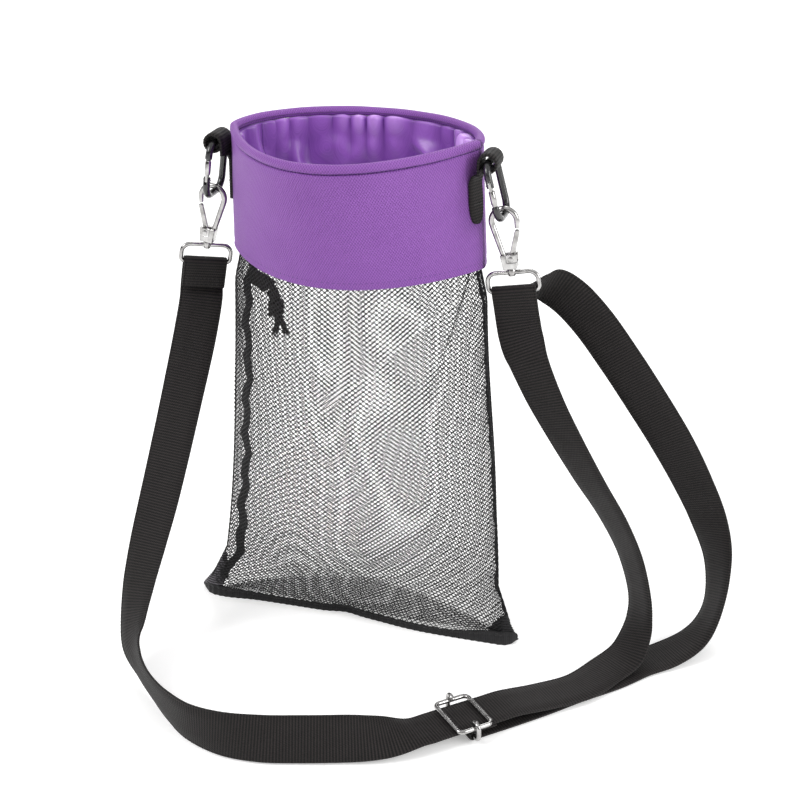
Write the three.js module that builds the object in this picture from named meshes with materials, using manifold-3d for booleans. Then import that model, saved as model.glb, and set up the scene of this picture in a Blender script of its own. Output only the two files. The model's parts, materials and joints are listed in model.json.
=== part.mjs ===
// A net peg bag with a stiff collar, two carabiners, two swivel snap hooks and a webbing shoulder strap.
// Millimetres, +Z up. The origin is on the floor under the middle of the rim, the front faces -Y.
import * as THREE from "three";
import { mergeVertices } from "three/addons/utils/BufferGeometryUtils.js";
import Module from "manifold-3d";

const wasm = await Module();
wasm.setup();

// Gap kept between pieces that touch on the real bag
const CLEAR = 0.3;

// Collar and rim
const RIM_TOP = 300;
const RIM_HALF_WIDTH = 71.22;
const RIM_SIDE_SHIFT = -2;
const RIM_FRONT_DEPTH = 72;
const RIM_BACK_DEPTH = 56;
const RIM_SET_BACK = 8;
const COLLAR_FOOT = 229;
const FOOT_HALF_WIDTH = 73.5;
const FOOT_FRONT_DEPTH = 55.5;
const FOOT_BACK_DEPTH = 55;
const FOOT_SET_BACK = 5;
const FRONT_HOLLOW = 1.8;
const COLLAR_THICKNESS = 2.4;
const PIPING_RADIUS = 2.6;
const PIPING_INSET = 1.9;
const OVAL_STEPS = 72;

// Satin sleeve inside the collar
const SLEEVE_TOP = 293.6;
const SLEEVE_FOOT = 233;
const SLEEVE_THICKNESS = 0.8;
const SLEEVE_TOP_INSET = 3.0;
const SLEEVE_FOOT_INSET = 5.4;
const SLEEVE_FOLD_DEPTH = 8;
const SLEEVE_FOLDS = 9;

// Net pouch
const NET_TOP = 238;
const NET_THICKNESS = 0.8;
const NET_TUCK_GAP = 1.1;
const NET_OPENINGS_ACROSS = 10;
const FRONT_OPENINGS_DOWN = 11;
const BACK_OPENINGS_DOWN = 10;
const NET_BAR_SHARE = 0.24;
const SEAM_HALF_LENGTH = 102;
const SEAM_Y = -8;
const NET_BELLY = 9;
const NET_SWELL_SHARE = 0.1;
const SIDE_FLARE = 16;
const EAR_START = 0.84;
const NET_LEAN = 4;
const CORNER_TUCK = 0.8;
const BACK_DEPTH_AT_FLOOR = 44;
const TAPE_WIDTH = 6.5;
const TAPE_THICKNESS = 1.0;
const TAPE_WAVE = 1.6;
const BINDING_HEIGHT = 8.5;
const BINDING_THICKNESS = 2.4;
const BINDING_SAG = 3;

// Webbing tabs on the ends of the collar
const TAB_Y = 2;
const TAB_WIDTH = 16;
const TAB_FOOT = 256;
const TAB_HEAD = 293;
const TAB_THICKNESS = 1.5;
const LOOP_OUTER = 5.6;
const LOOP_INNER = 4.0;
const LOOP_Z = 290.5;

// Carabiners, drawn in their own plane with the top wire's middle as the origin
const CARABINER_WIRE = 2.0;
const CARABINER_HALF_WIDTH = 11.5;
const CARABINER_DROP = 30.5;
const CARABINER_TOP_RADIUS = 7;
const CARABINER_FOOT_RADIUS = 7.2;
const LEFT_CARABINER_TILT = 8.1;
const RIGHT_CARABINER_TILT = 15;
const GATE_WIRE = 1.7;
const GATE_NOSE = -8.3;
const GATE_PIVOT = -20;
const GATE_SHOULDER = -16.9;
const FORK_END = -18.5;
const FORK_SLOT = 2.0;
const TONGUE = 1.4;
const PIN_RADIUS = 0.6;

// Snap hooks, drawn with the middle of the carabiner's lower wire as the origin
const HOOK_TILT = 10;
const HOOK_WIRE = 1.5;
const BOW_RADIUS = 7;
const BASE_TOP = -21.5;
const BASE_FOOT = -29.5;
const BASE_TOP_HALF_WIDTH = 4.6;
const BASE_FOOT_HALF_WIDTH = 3.7;
const BASE_THICKNESS = 6.6;
const RIVET_OUT = 1.2;
const RIVET_DOWN = -23.9;
const RIVET_RADIUS = 1.0;
const LEVER_WIDTH = 2.6;
const LEVER_THICKNESS = 2.0;
const LEVER_TOP_OUT = 6.2;
const LEVER_TOP_DOWN = -9.6;
const STEM_RADIUS = 1.65;
const HEAD_RADIUS = 2.4;
const HEAD_FOOT = -28.0;
const HEAD_TOP = -26.8;

// Swivel rings
const RING_WIRE = 1.25;
const RING_HALF_WIDTH = 14.25;
const RING_TOP = -32;
const RING_FOOT = -42.5;
const RING_TOP_CORNER = 5;
const RING_FOOT_CORNER = 2.2;
const LEFT_RING_TURN = 32;

// Shoulder strap
const STRAP_WIDTH = 25;
const STRAP_THICKNESS = 1.4;
const FOLD_REACH = 58;
const FOLD_BACK_END = -54;
const BEND_REACH = 50;
const BEND_BACK_REACH = 4.5;
const SWING_GAP = 0.6;

// Slider, lying flat on the floor
const SLIDER_AT = [90.5, -98.6, 7.3];
const SLIDER_ALONG = [0.73, 0.683, 0];
const SLIDER_WIRE = 1.3;
const SLIDER_HALF_LENGTH = 10;
const SLIDER_HALF_WIDTH = 14.3;
const SLIDER_CORNER = 3;
const TAIL_LENGTH = 14;
const SLIDER_TRAVEL = 10;

// Free drawcord
const CORD_WIDTH = 8.5;
const CORD_THICKNESS = 2.4;
const CORD_TAIL_RADIUS = 1.6;

// Route of the strap: [x, y, z of the middle], [direction from the outer edge to the inner edge]
const slideAt = (s, z) => [
  SLIDER_AT[0] + s * SLIDER_ALONG[0],
  SLIDER_AT[1] + s * SLIDER_ALONG[1],
  z,
];
const ACROSS = [-SLIDER_ALONG[1], SLIDER_ALONG[0], 0];
const STRAP_LIFT = SLIDER_AT[2];
const MAIN_ROUTE = [
  [[-91.93, 0.09, 205.5], [0.835, 0.53, -0.147]],
  [[-93.7, -0.1, 196.6], [0.86, 0.5, -0.1]],
  [[-96.9, -4.8, 175], [0.93, 0.34, 0]],
  [[-101.3, -17.4, 142.5], [0.98, 0.18, 0.03]],
  [[-104.5, -33, 112], [1, 0.1, 0.06]],
  [[-107.5, -47, 85.5], [1, 0.03, 0.1]],
  [[-110, -59.5, 64], [1, -0.1, 0.15]],
  [[-111, -73.5, 44], [0.92, -0.25, 0.25]],
  [[-110, -84.5, 30], [0.85, -0.4, 0.35]],
  [[-106, -96.5, 20.5], [0.72, -0.52, 0.45]],
  [[-95.5, -110.5, 15], [0.5, -0.62, 0.6]],
  [[-81.5, -126, 13.6], [0.35, -0.55, 0.75]],
  [[-66, -140, 13.8], [0.25, -0.35, 0.9]],
  [[-48.5, -151, 14.2], [0.2, -0.1, 0.97]],
  [[-28, -155.5, 14.2], [0.05, 0.2, 0.97]],
  [[-6.4, -152.5, 13.2], [-0.1, 0.45, 0.88]],
  [[13.3, -146.4, 12.4], [-0.16, 0.57, 0.81]],
  [[33.4, -139.8, 12], [-0.2, 0.6, 0.77]],
  [[54, -130, 9.8], [-0.45, 0.7, 0.45]],
  [slideAt(-27, STRAP_LIFT), ACROSS],
  [slideAt(-18, STRAP_LIFT), ACROSS],
  [slideAt(-9, STRAP_LIFT), ACROSS],
  [slideAt(0, STRAP_LIFT), ACROSS],
  [slideAt(9, STRAP_LIFT), ACROSS],
  [slideAt(18, STRAP_LIFT), ACROSS],
  [slideAt(28, STRAP_LIFT), ACROSS],
  [slideAt(52, 4.3), ACROSS],
  [slideAt(76, 3.1), ACROSS],
  [[158, -27, 3.4], [-0.83, 0.55, 0]],
  [[166.5, -15, 6.8], [-0.75, 0.65, 0]],
  [[170, -6.4, 13], [-0.66, 0.73, -0.05]],
  [[171.7, 1.8, 22], [-0.62, 0.77, -0.1]],
  [[171, 6.1, 33], [-0.62, 0.76, -0.12]],
  [[164, 10, 56.5], [-0.68, 0.7, -0.2]],
  [[152.5, 5.5, 84], [-0.75, 0.6, -0.2]],
  [[138, -1, 111], [-0.8, 0.5, -0.2]],
  [[124.5, -7, 137.5], [-0.85, 0.42, -0.2]],
  [[112, -10, 162], [-0.9, 0.33, -0.15]],
  [[101.5, -8.5, 184], [-0.95, 0.25, -0.1]],
  [[96.2, -3.2, 195], [-1, 0.1, 0]],
  [[93.7, -0.3, 203], [-1, 0, -0.1]],
  [[91.7, -0.25, 214.3], [-1, 0, -0.17]],
];
const REAR_ROUTE = [
  [[101, 16.5, 218], [-0.75, 0.2, -0.6]],
  [[108, 21.5, 216.5], [-0.6, 0.1, -0.8]],
  [[117, 23.5, 211], [-0.65, 0.02, -0.76]],
  [[130.4, 24.9, 197.5], [-0.8, 0, -0.58]],
  [[147.5, 26.8, 174.5], [-0.8, 0, -0.56]],
  [[163.4, 29.6, 150.5], [-0.8, 0, -0.55]],
  [[178.8, 32.3, 126], [-0.8, 0.05, -0.55]],
  [[192.3, 37.5, 99.5], [-0.78, 0.2, -0.52]],
  [[204, 40.7, 73], [-0.75, 0.35, -0.5]],
  [[211.5, 39.5, 47.5], [-0.62, 0.6, -0.45]],
  [[212.6, 30, 26.5], [-0.5, 0.75, -0.4]],
  [[209, 21, 15], [-0.48, 0.82, -0.25]],
  [[201.5, 10.5, 7.5], [-0.55, 0.83, -0.1]],
  [[189, -1, 3], [-0.62, 0.78, 0]],
  [[174.4, -13, 1.4], [-0.683, 0.73, 0]],
  [[159.4, -30.4, 1.05], ACROSS],
  [[141, -48.5, 1.05], ACROSS],
  [[126, -64.5, 1.05], ACROSS],
  [slideAt(TAIL_LENGTH + SLIDER_TRAVEL + 1.5, 1.05), ACROSS],
];
const CORD_ROUTE = [
  [[-58, 4, 229], [0.1, 0, 1]],
  [[-58.5, -6, 223], [0.1, 0.1, 1]],
  [[-54, -15, 219], [0, 0.25, 1]],
  [[-47.5, -19.5, 218], [-0.35, 0.3, 0.9]],
  [[-41.8, -21.5, 215], [-0.75, 0.3, 0.5]],
  [[-39.4, -22, 209], [-0.95, 0.2, 0.1]],
];
const KNOT_AT = [-39, -22, 204.6];
const KNOT_SIZE = [5.0, 4.2, 5.6];
const TAIL_ROUTES = [
  [[-38.6, -22.4, 203], [-38.2, -23, 196], [-39.4, -23.6, 188.5]],
  [[-38.4, -21.6, 203], [-35.8, -22, 196], [-33.8, -22.6, 189.5]],
];

const paint = (color, roughness, metalness = 0) =>
  new THREE.MeshStandardMaterial({ color, roughness, metalness });
const PURPLE = paint(0x935fc4, 0.6);
const SATIN = paint(0x8f58c6, 0.35);
const NET = paint(0x1b191c, 0.8);
const WEBBING = paint(0x262224, 0.85);
const BLACK_METAL = paint(0x1c1c1e, 0.35, 0.8);
const BRIGHT = paint(0xc9c9cc, 0.2, 1);

const group = new THREE.Group();

function place(name, geometry, material) {
  const mesh = new THREE.Mesh(geometry, material);
  mesh.name = name;
  group.add(mesh);
  return mesh;
}

// A closed triangle mesh from points and faces, with its faces turned outwards
function closedMesh(points, faces) {
  let volume = 0;
  const cross = new THREE.Vector3();
  for (const [a, b, c] of faces) {
    volume += points[a].dot(cross.crossVectors(points[b], points[c]));
  }
  const index = faces.flatMap(([a, b, c]) => (volume < 0 ? [a, c, b] : [a, b, c]));
  const geometry = new THREE.BufferGeometry().setFromPoints(points);
  geometry.setIndex(index);
  return geometry;
}

// A thin wall between two grids of points of the same size, without the cells that are open
function wall(outer, inner, closed, open = () => false) {
  const rows = outer.length;
  const cols = outer[0].length;
  const spans = closed ? cols : cols - 1;
  const points = [...outer.flat(), ...inner.flat()];
  const faces = [];
  const at = (side, r, c) => side * rows * cols + r * cols + (c % cols);
  const quad = (a, b, c, d) => faces.push([a, b, c], [a, c, d]);
  const filled = (r, c) => {
    const across = closed ? (c + spans) % spans : c;
    return r >= 0 && r < rows - 1 && across >= 0 && across < spans && !open(r, across);
  };
  const rim = (r0, c0, r1, c1) => quad(at(0, r1, c1), at(0, r0, c0), at(1, r0, c0), at(1, r1, c1));
  for (let r = 0; r < rows - 1; r++) {
    for (let c = 0; c < spans; c++) {
      if (!filled(r, c)) continue;
      quad(at(0, r, c), at(0, r, c + 1), at(0, r + 1, c + 1), at(0, r + 1, c));
      quad(at(1, r, c), at(1, r + 1, c), at(1, r + 1, c + 1), at(1, r, c + 1));
      if (!filled(r - 1, c)) rim(r, c, r, c + 1);
      if (!filled(r, c + 1)) rim(r, c + 1, r + 1, c + 1);
      if (!filled(r + 1, c)) rim(r + 1, c + 1, r + 1, c);
      if (!filled(r, c - 1)) rim(r + 1, c, r, c);
    }
  }
  return closedMesh(points, faces);
}

// A body swept from section to section, each a ring of points, with flat or joined ends
function loft(rings, joined = false) {
  const sides = rings[0].length;
  const points = rings.flat();
  const faces = [];
  const last = joined ? rings.length : rings.length - 1;
  for (let r = 0; r < last; r++) {
    const here = r * sides;
    const next = ((r + 1) % rings.length) * sides;
    for (let s = 0; s < sides; s++) {
      const t = (s + 1) % sides;
      faces.push([here + s, here + t, next + t], [here + s, next + t, next + s]);
    }
  }
  if (!joined) {
    const foot = (rings.length - 1) * sides;
    for (let s = 1; s < sides - 1; s++) {
      faces.push([0, s + 1, s], [foot, foot + s, foot + s + 1]);
    }
  }
  return closedMesh(points, faces);
}

// A round wire along a list of points
function wire(path, radius, sides = 10, joined = false) {
  const count = path.length;
  const along = path.map((p, i) => {
    const before = path[joined ? (i + count - 1) % count : Math.max(i - 1, 0)];
    const after = path[joined ? (i + 1) % count : Math.min(i + 1, count - 1)];
    return after.clone().sub(before).normalize();
  });
  const first = Math.abs(along[0].x) < 0.9 ? new THREE.Vector3(1, 0, 0) : new THREE.Vector3(0, 1, 0);
  let side = first.sub(along[0].clone().multiplyScalar(first.dot(along[0]))).normalize();
  const rings = path.map((p, i) => {
    side = side.clone().sub(along[i].clone().multiplyScalar(side.dot(along[i]))).normalize();
    const up = along[i].clone().cross(side);
    return Array.from({ length: sides }, (_, k) => {
      const turn = (2 * Math.PI * k) / sides;
      return p.clone().addScaledVector(side, radius * Math.cos(turn))
        .addScaledVector(up, radius * Math.sin(turn));
    });
  });
  return loft(rings, joined);
}

// A flat band along a route of middles and edge directions
function band(route, width, thickness, stepsPerSpan = 3) {
  const through = (points) =>
    new THREE.CatmullRomCurve3(points.map((p) => new THREE.Vector3(...p)), false, "centripetal");
  const middles = through(route.map(([p]) => p));
  const edges = through(route.map(([, w]) => w));
  const count = (route.length - 1) * stepsPerSpan;
  const rings = Array.from({ length: count + 1 }, (_, i) => {
    const t = i / count;
    const p = middles.getPoint(t);
    const along = middles.getTangent(t);
    const w = edges.getPoint(t);
    w.addScaledVector(along, -w.dot(along)).normalize();
    const n = along.clone().cross(w);
    const corner = (a, b) =>
      p.clone().addScaledVector(w, (a * width) / 2).addScaledVector(n, (b * thickness) / 2);
    return [corner(-1, -1), corner(1, -1), corner(1, 1), corner(-1, 1)];
  });
  return loft(rings);
}

// A flat outline pushed out to both sides of its plane
function slab(shape, thickness, curveSegments = 8) {
  const settings = { depth: thickness, bevelEnabled: false, curveSegments };
  return new THREE.ExtrudeGeometry(shape, settings).translate(0, 0, -thickness / 2);
}

function solid(geometry) {
  const bare = geometry.clone();
  bare.deleteAttribute("normal");
  bare.deleteAttribute("uv");
  const merged = mergeVertices(bare, 1e-4);
  return new wasm.Manifold(new wasm.Mesh({
    numProp: 3,
    vertProperties: new Float32Array(merged.attributes.position.array),
    triVerts: new Uint32Array(merged.index.array),
  }));
}

function geometryOf(body) {
  const mesh = body.getMesh();
  const geometry = new THREE.BufferGeometry();
  geometry.setAttribute("position", new THREE.BufferAttribute(new Float32Array(mesh.vertProperties), 3));
  geometry.setIndex(new THREE.BufferAttribute(new Uint32Array(mesh.triVerts), 1));
  return geometry;
}

// Points of an arc in the plane of the first two numbers, from one angle to another in degrees
function arc(cx, cy, radius, from, to, steps) {
  return Array.from({ length: steps + 1 }, (_, i) => {
    const turn = THREE.MathUtils.degToRad(from + ((to - from) * i) / steps);
    return [cx + radius * Math.cos(turn), cy + radius * Math.sin(turn)];
  });
}

// A rod along Y through a point of the XZ plane
function rodAlongY(x, z, radius, length, sides = 16) {
  return new THREE.CylinderGeometry(radius, radius, length, sides).translate(x, 0, z);
}

const mix = (a, b, t) => a + (b - a) * t;
const easeIn = (t, power) => Math.pow(Math.max(t, 0), power);

function smoothStep(t) {
  const s = Math.min(Math.max(t, 0), 1);
  return s * s * (3 - 2 * s);
}

// Half width, depths and middle of the collar's outside at a height.
// Its front is hollowed to the side seams, and the soft collar leans a little to the left.
function collarOval(z) {
  const t = (z - COLLAR_FOOT) / (RIM_TOP - PIPING_RADIUS - COLLAR_FOOT);
  return {
    a: mix(FOOT_HALF_WIDTH, RIM_HALF_WIDTH, t),
    front: mix(FOOT_FRONT_DEPTH, RIM_FRONT_DEPTH, t),
    back: mix(FOOT_BACK_DEPTH, RIM_BACK_DEPTH, t),
    x: mix(0, RIM_SIDE_SHIFT, t),
    y: mix(FOOT_SET_BACK, RIM_SET_BACK, t),
  };
}

function ovalRow(z, inset, steps = OVAL_STEPS) {
  const { a, front, back, x, y } = collarOval(z);
  return Array.from({ length: steps }, (_, i) => {
    const turn = (2 * Math.PI * i) / steps;
    const away = typeof inset === "function" ? inset(turn) : inset;
    const s = Math.sin(turn);
    const reach = s < 0 ? (away - front) * Math.pow(-s, FRONT_HOLLOW) : (back - away) * s;
    return new THREE.Vector3(x + (a - away) * Math.cos(turn), y + reach, z);
  });
}

function collar() {
  const heights = [COLLAR_FOOT, RIM_TOP - 2 * PIPING_RADIUS - CLEAR];
  const outer = heights.map((z) => ovalRow(z, 0));
  const inner = heights.map((z) => ovalRow(z, COLLAR_THICKNESS));
  place("collar_band", wall(outer, inner, true), PURPLE);
  const roll = ovalRow(RIM_TOP - PIPING_RADIUS, PIPING_INSET);
  place("rim_piping", wire(roll, PIPING_RADIUS, 8, true), PURPLE);
}

// The sleeve's folds deepen downwards and are uneven round the rim
function sleeveInset(turn, t) {
  const swell = 0.5 + 0.5 * Math.cos(SLEEVE_FOLDS * turn + 0.7 * Math.sin(2 * turn) + 1.2 * t);
  const uneven = 0.65 + 0.35 * Math.cos(3 * turn + 1);
  const depth = SLEEVE_FOLD_DEPTH * (0.12 + 0.88 * easeIn(t, 0.8)) * uneven;
  return mix(SLEEVE_TOP_INSET, SLEEVE_FOOT_INSET, t) + depth * swell;
}

function sleeve() {
  const rows = 7;
  const grid = (extra) => Array.from({ length: rows }, (_, r) => {
    const t = r / (rows - 1);
    return ovalRow(mix(SLEEVE_TOP, SLEEVE_FOOT, t), (turn) => sleeveInset(turn, t) + extra);
  });
  place("closure_sleeve", wall(grid(0), grid(SLEEVE_THICKNESS), true), SATIN);
}

// The pouch at a share t of the way from the collar's foot down to the floor.
// It swells out under the collar, and its lowest part runs out in ears to the ends of the bottom seam.
function pouch(t) {
  const tuck = COLLAR_THICKNESS + NET_TUCK_GAP;
  const under = Math.max(t, 0);
  const over = collarOval(mix(COLLAR_FOOT, 0, Math.min(t, 0)));
  const sides = over.a - tuck * (1 - smoothStep(under / NET_SWELL_SHARE)) + SIDE_FLARE * easeIn(under, 1.4);
  const earReach = SEAM_HALF_LENGTH - CORNER_TUCK - FOOT_HALF_WIDTH - SIDE_FLARE;
  return {
    halfWidth: sides + earReach * easeIn((under - EAR_START) / (1 - EAR_START), 1),
    middle: over.x + NET_LEAN * Math.sin(Math.PI * easeIn(under, 1.8)),
    seamY: mix(over.y, SEAM_Y, smoothStep(under)),
    front: (over.front - tuck) * (1 - easeIn(under, 2.5)) + NET_BELLY * Math.sin(Math.PI * under) * under,
    back: mix(over.back - tuck, BACK_DEPTH_AT_FLOOR, under) + 4 * Math.sin(Math.PI * under),
    frontHollow: mix(FRONT_HOLLOW, 1.9, under * under),
    backHollow: mix(1, 1.9, under * under),
  };
}

// Shares of a net panel's length where bars and openings take turns, with half a bar at both ends
function openingMarks(count) {
  const half = NET_BAR_SHARE / 2;
  const marks = Array.from({ length: count }, (_, i) => [(i + half) / count, (i + 1 - half) / count]);
  return [0, ...marks.flat(), 1];
}

// A net panel as rows of points from the left seam to the right one; side is -1 for the front
function netRow(side, t, z, reach = 1) {
  const { halfWidth, middle, seamY, front, back, frontHollow, backHollow } = pouch(t);
  const deep = side < 0 ? front : back;
  const hollow = side < 0 ? frontHollow : backHollow;
  const start = 0.06;
  return openingMarks(NET_OPENINGS_ACROSS).map((share) => {
    const turn = mix(start, Math.PI - start, share);
    const x = middle - (halfWidth - 0.4) * Math.cos(turn);
    const edge = TAPE_THICKNESS / 2 + CLEAR;
    const y = seamY + side * (edge + (deep - edge) * reach * Math.pow(Math.sin(turn), hollow));
    return new THREE.Vector3(x, y, z);
  });
}

// The same grid moved inwards along its own normals
function offsetGrid(grid, distance, inwards) {
  const pick = (r, c) => grid[Math.min(Math.max(r, 0), grid.length - 1)][
    Math.min(Math.max(c, 0), grid[0].length - 1)];
  return grid.map((row, r) => row.map((p, c) => {
    const across = pick(r, c + 1).clone().sub(pick(r, c - 1));
    const down = pick(r + 1, c).clone().sub(pick(r - 1, c));
    const n = across.cross(down).normalize();
    if (n.dot(inwards(p)) < 0) n.negate();
    return p.clone().addScaledVector(n, distance);
  }));
}

// Rows of a net panel from its edge inside the collar down to a height
function netRows(side, openings, foot) {
  const [, ...marks] = openingMarks(openings);
  const heights = [NET_TOP, ...marks.map((share) => mix(COLLAR_FOOT, foot, share))];
  return heights.map((z) => netRow(side, (COLLAR_FOOT - z) / COLLAR_FOOT, z));
}

// Each panel is a coarse grid of openings; the back one goes on under the bag, where it is closed
function net() {
  const inside = (p) => new THREE.Vector3(-p.x * 0.3, 12 - p.y, Math.max(0, 40 - p.z) * 0.5);
  const opened = (openings) => (r, c) => r % 2 === 1 && r < 2 * openings && c % 2 === 1;
  const panel = (rows, openings) =>
    wall(rows, offsetGrid(rows, NET_THICKNESS, inside), false, opened(openings));
  const front = netRows(-1, FRONT_OPENINGS_DOWN, BINDING_HEIGHT + CLEAR);
  place("net_front", panel(front, FRONT_OPENINGS_DOWN), NET);
  const back = netRows(1, BACK_OPENINGS_DOWN, 10);
  back.push(netRow(1, 0.985, 4, 0.98), netRow(1, 0.999, 0.8, 0.9), netRow(1, 1, 0, 0.76));
  back.push(netRow(1, 1, 0, 0.5), netRow(1, 1, 0, 0.25), netRow(1, 1, 0, 0.06));
  place("net_back", panel(back, BACK_OPENINGS_DOWN), NET);
}

// Seam allowances standing inwards along the side seams, with a wavy free edge
function seamTape(name, side) {
  const rows = 26;
  const rings = Array.from({ length: rows }, (_, r) => {
    const z = mix(COLLAR_FOOT - 2, BINDING_HEIGHT + 7, r / (rows - 1));
    const { halfWidth, middle, seamY } = pouch((COLLAR_FOOT - z) / COLLAR_FOOT);
    const wave = TAPE_WAVE * Math.sin(r * 0.9 + side);
    const root = halfWidth - 2.2;
    const tip = root - TAPE_WIDTH - wave;
    const h = TAPE_THICKNESS / 2;
    return [[root, -h], [root, h], [tip, h], [tip, -h]].map(
      ([x, y]) => new THREE.Vector3(middle + side * x, seamY + y, z));
  });
  place(name, loft(rings), WEBBING);
}

// Binding over the bottom seam, standing on the floor along the front
function binding() {
  const steps = 28;
  const rings = Array.from({ length: steps + 1 }, (_, i) => {
    const u = mix(-1, 1, i / steps);
    const x = u * SEAM_HALF_LENGTH;
    const bow = BINDING_SAG * Math.cos((u * Math.PI) / 2) * 0.4;
    const y = SEAM_Y - BINDING_THICKNESS / 2 + bow - 1.2 * Math.sin(3 * u);
    const top = BINDING_HEIGHT * (1 - 0.25 * easeIn(Math.abs(u), 6));
    const h = BINDING_THICKNESS / 2;
    return [[-h, 0], [h - 1, 0], [h - 1, top], [-h, top]].map(([dy, z]) => new THREE.Vector3(x, y + dy, z));
  });
  place("bottom_binding", loft(rings), WEBBING);
}

// A tab: a strip sewn down on the collar and a round loop for the carabiner, drawn for the right end
function tab(name, side) {
  const foot = collarEnd(TAB_FOOT, side) + CLEAR;
  const head = collarEnd(TAB_HEAD, side) + CLEAR;
  const strip = new THREE.Shape([
    [foot, TAB_FOOT], [foot + TAB_THICKNESS, TAB_FOOT],
    [head + TAB_THICKNESS, TAB_HEAD], [head, TAB_HEAD],
  ].map(([x, z]) => new THREE.Vector2(x, z)));
  const loopX = loopMiddle(side);
  const round = (radius) => arc(loopX, LOOP_Z, radius, 0, 345, 23).map((p) => new THREE.Vector2(...p));
  const ring = new THREE.Shape(round(LOOP_OUTER));
  ring.holes.push(new THREE.Path(round(LOOP_INNER)));
  const flat = solid(slab(strip, TAB_WIDTH)).add(solid(slab(ring, TAB_WIDTH)));
  const geometry = geometryOf(flat).rotateX(Math.PI / 2).translate(0, TAB_Y, 0);
  if (side < 0) geometry.rotateZ(Math.PI).translate(0, 2 * TAB_Y, 0);
  place(name, geometry, WEBBING);
}

// How far the collar reaches to one side at a height
function collarEnd(z, side) {
  const { a, x } = collarOval(z);
  return a + side * x;
}

function loopMiddle(side) {
  return collarEnd(LOOP_Z, side) + CLEAR + LOOP_OUTER;
}

const carabinerTilt = (side) => (side < 0 ? LEFT_CARABINER_TILT : RIGHT_CARABINER_TILT);

// Middle of the carabiner's top wire, inside the tab's loop
function carabinerHinge(side) {
  return [loopMiddle(side), LOOP_Z];
}

// Middle of the carabiner's lower wire, where the hook hangs
function hookHinge(side) {
  const [x, z] = carabinerHinge(side);
  const tilt = THREE.MathUtils.degToRad(carabinerTilt(side));
  return [x + CARABINER_DROP * Math.sin(tilt), z - CARABINER_DROP * Math.cos(tilt)];
}

// Turns a piece of the hanging chain outwards about its hinge and sets it at its side of the bag
function hang(geometry, side, tilt, [x, z]) {
  geometry.rotateY(-side * THREE.MathUtils.degToRad(tilt));
  return geometry.translate(side * x, TAB_Y, z);
}

function carabiner(word, side) {
  const w = CARABINER_HALF_WIDTH;
  const foot = -CARABINER_DROP;
  const top = CARABINER_TOP_RADIUS;
  const low = CARABINER_FOOT_RADIUS;
  const outline = [
    [-w, FORK_END],
    ...arc(-w + low, foot + low, low, 180, 270, 6),
    ...arc(w - low, foot + low, low, 270, 360, 6),
    ...arc(w - top, -top, top, 0, 90, 6),
    ...arc(-w + top, -top, top, 90, 180, 6),
    [-w, GATE_NOSE + CLEAR],
  ].map(([y, z]) => new THREE.Vector3(0, y, z));
  const slotLength = FORK_END - GATE_PIVOT + 2.4;
  const slot = new THREE.BoxGeometry(FORK_SLOT, 6, slotLength + 1)
    .translate(0, -w, FORK_END - slotLength / 2 + 0.5);
  const bore = new THREE.CylinderGeometry(PIN_RADIUS + CLEAR, PIN_RADIUS + CLEAR, 8, 12)
    .rotateZ(Math.PI / 2).translate(0, -w, GATE_PIVOT);
  const body = geometryOf(solid(wire(outline, CARABINER_WIRE)).subtract(solid(slot)).subtract(solid(bore)));
  const rod = wire([
    new THREE.Vector3(0, -w, GATE_SHOULDER), new THREE.Vector3(0, -w, GATE_NOSE),
  ], GATE_WIRE);
  const tongueLength = GATE_SHOULDER - GATE_PIVOT + 1.9;
  const tongue = new THREE.BoxGeometry(TONGUE, 2.6, tongueLength)
    .translate(0, -w, GATE_SHOULDER + 0.4 - tongueLength / 2);
  const gate = geometryOf(solid(rod).add(solid(tongue)).subtract(solid(bore)));
  const pin = new THREE.CylinderGeometry(PIN_RADIUS, PIN_RADIUS, 3.4, 12)
    .rotateZ(Math.PI / 2).translate(0, -w, GATE_PIVOT);
  const pieces = [["body", body, BLACK_METAL], ["gate", gate, BRIGHT], ["pin", pin, BRIGHT]];
  for (const [part, geometry, material] of pieces) {
    if (side > 0) {
      // The right carabiner hangs the other way up
      const middle = CARABINER_DROP / 2;
      geometry.translate(0, 0, middle).rotateY(Math.PI).translate(0, 0, -middle);
    }
    const hung = hang(geometry, side, carabinerTilt(side), carabinerHinge(side));
    place(`${word}_carabiner_${part}`, hung, material);
  }
}

// The left ring hangs turned about its stem
const ringTurn = (side) => THREE.MathUtils.degToRad(side < 0 ? LEFT_RING_TURN : 0);

// Turns a piece of a hook, drawn with its gate towards +X, to its side of the bag
function hangHook(geometry, side) {
  if (side < 0) geometry.rotateZ(Math.PI);
  return hang(geometry, side, HOOK_TILT, hookHinge(side));
}

const bowTop = () => CARABINER_WIRE + HOOK_WIRE + CLEAR;

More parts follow.
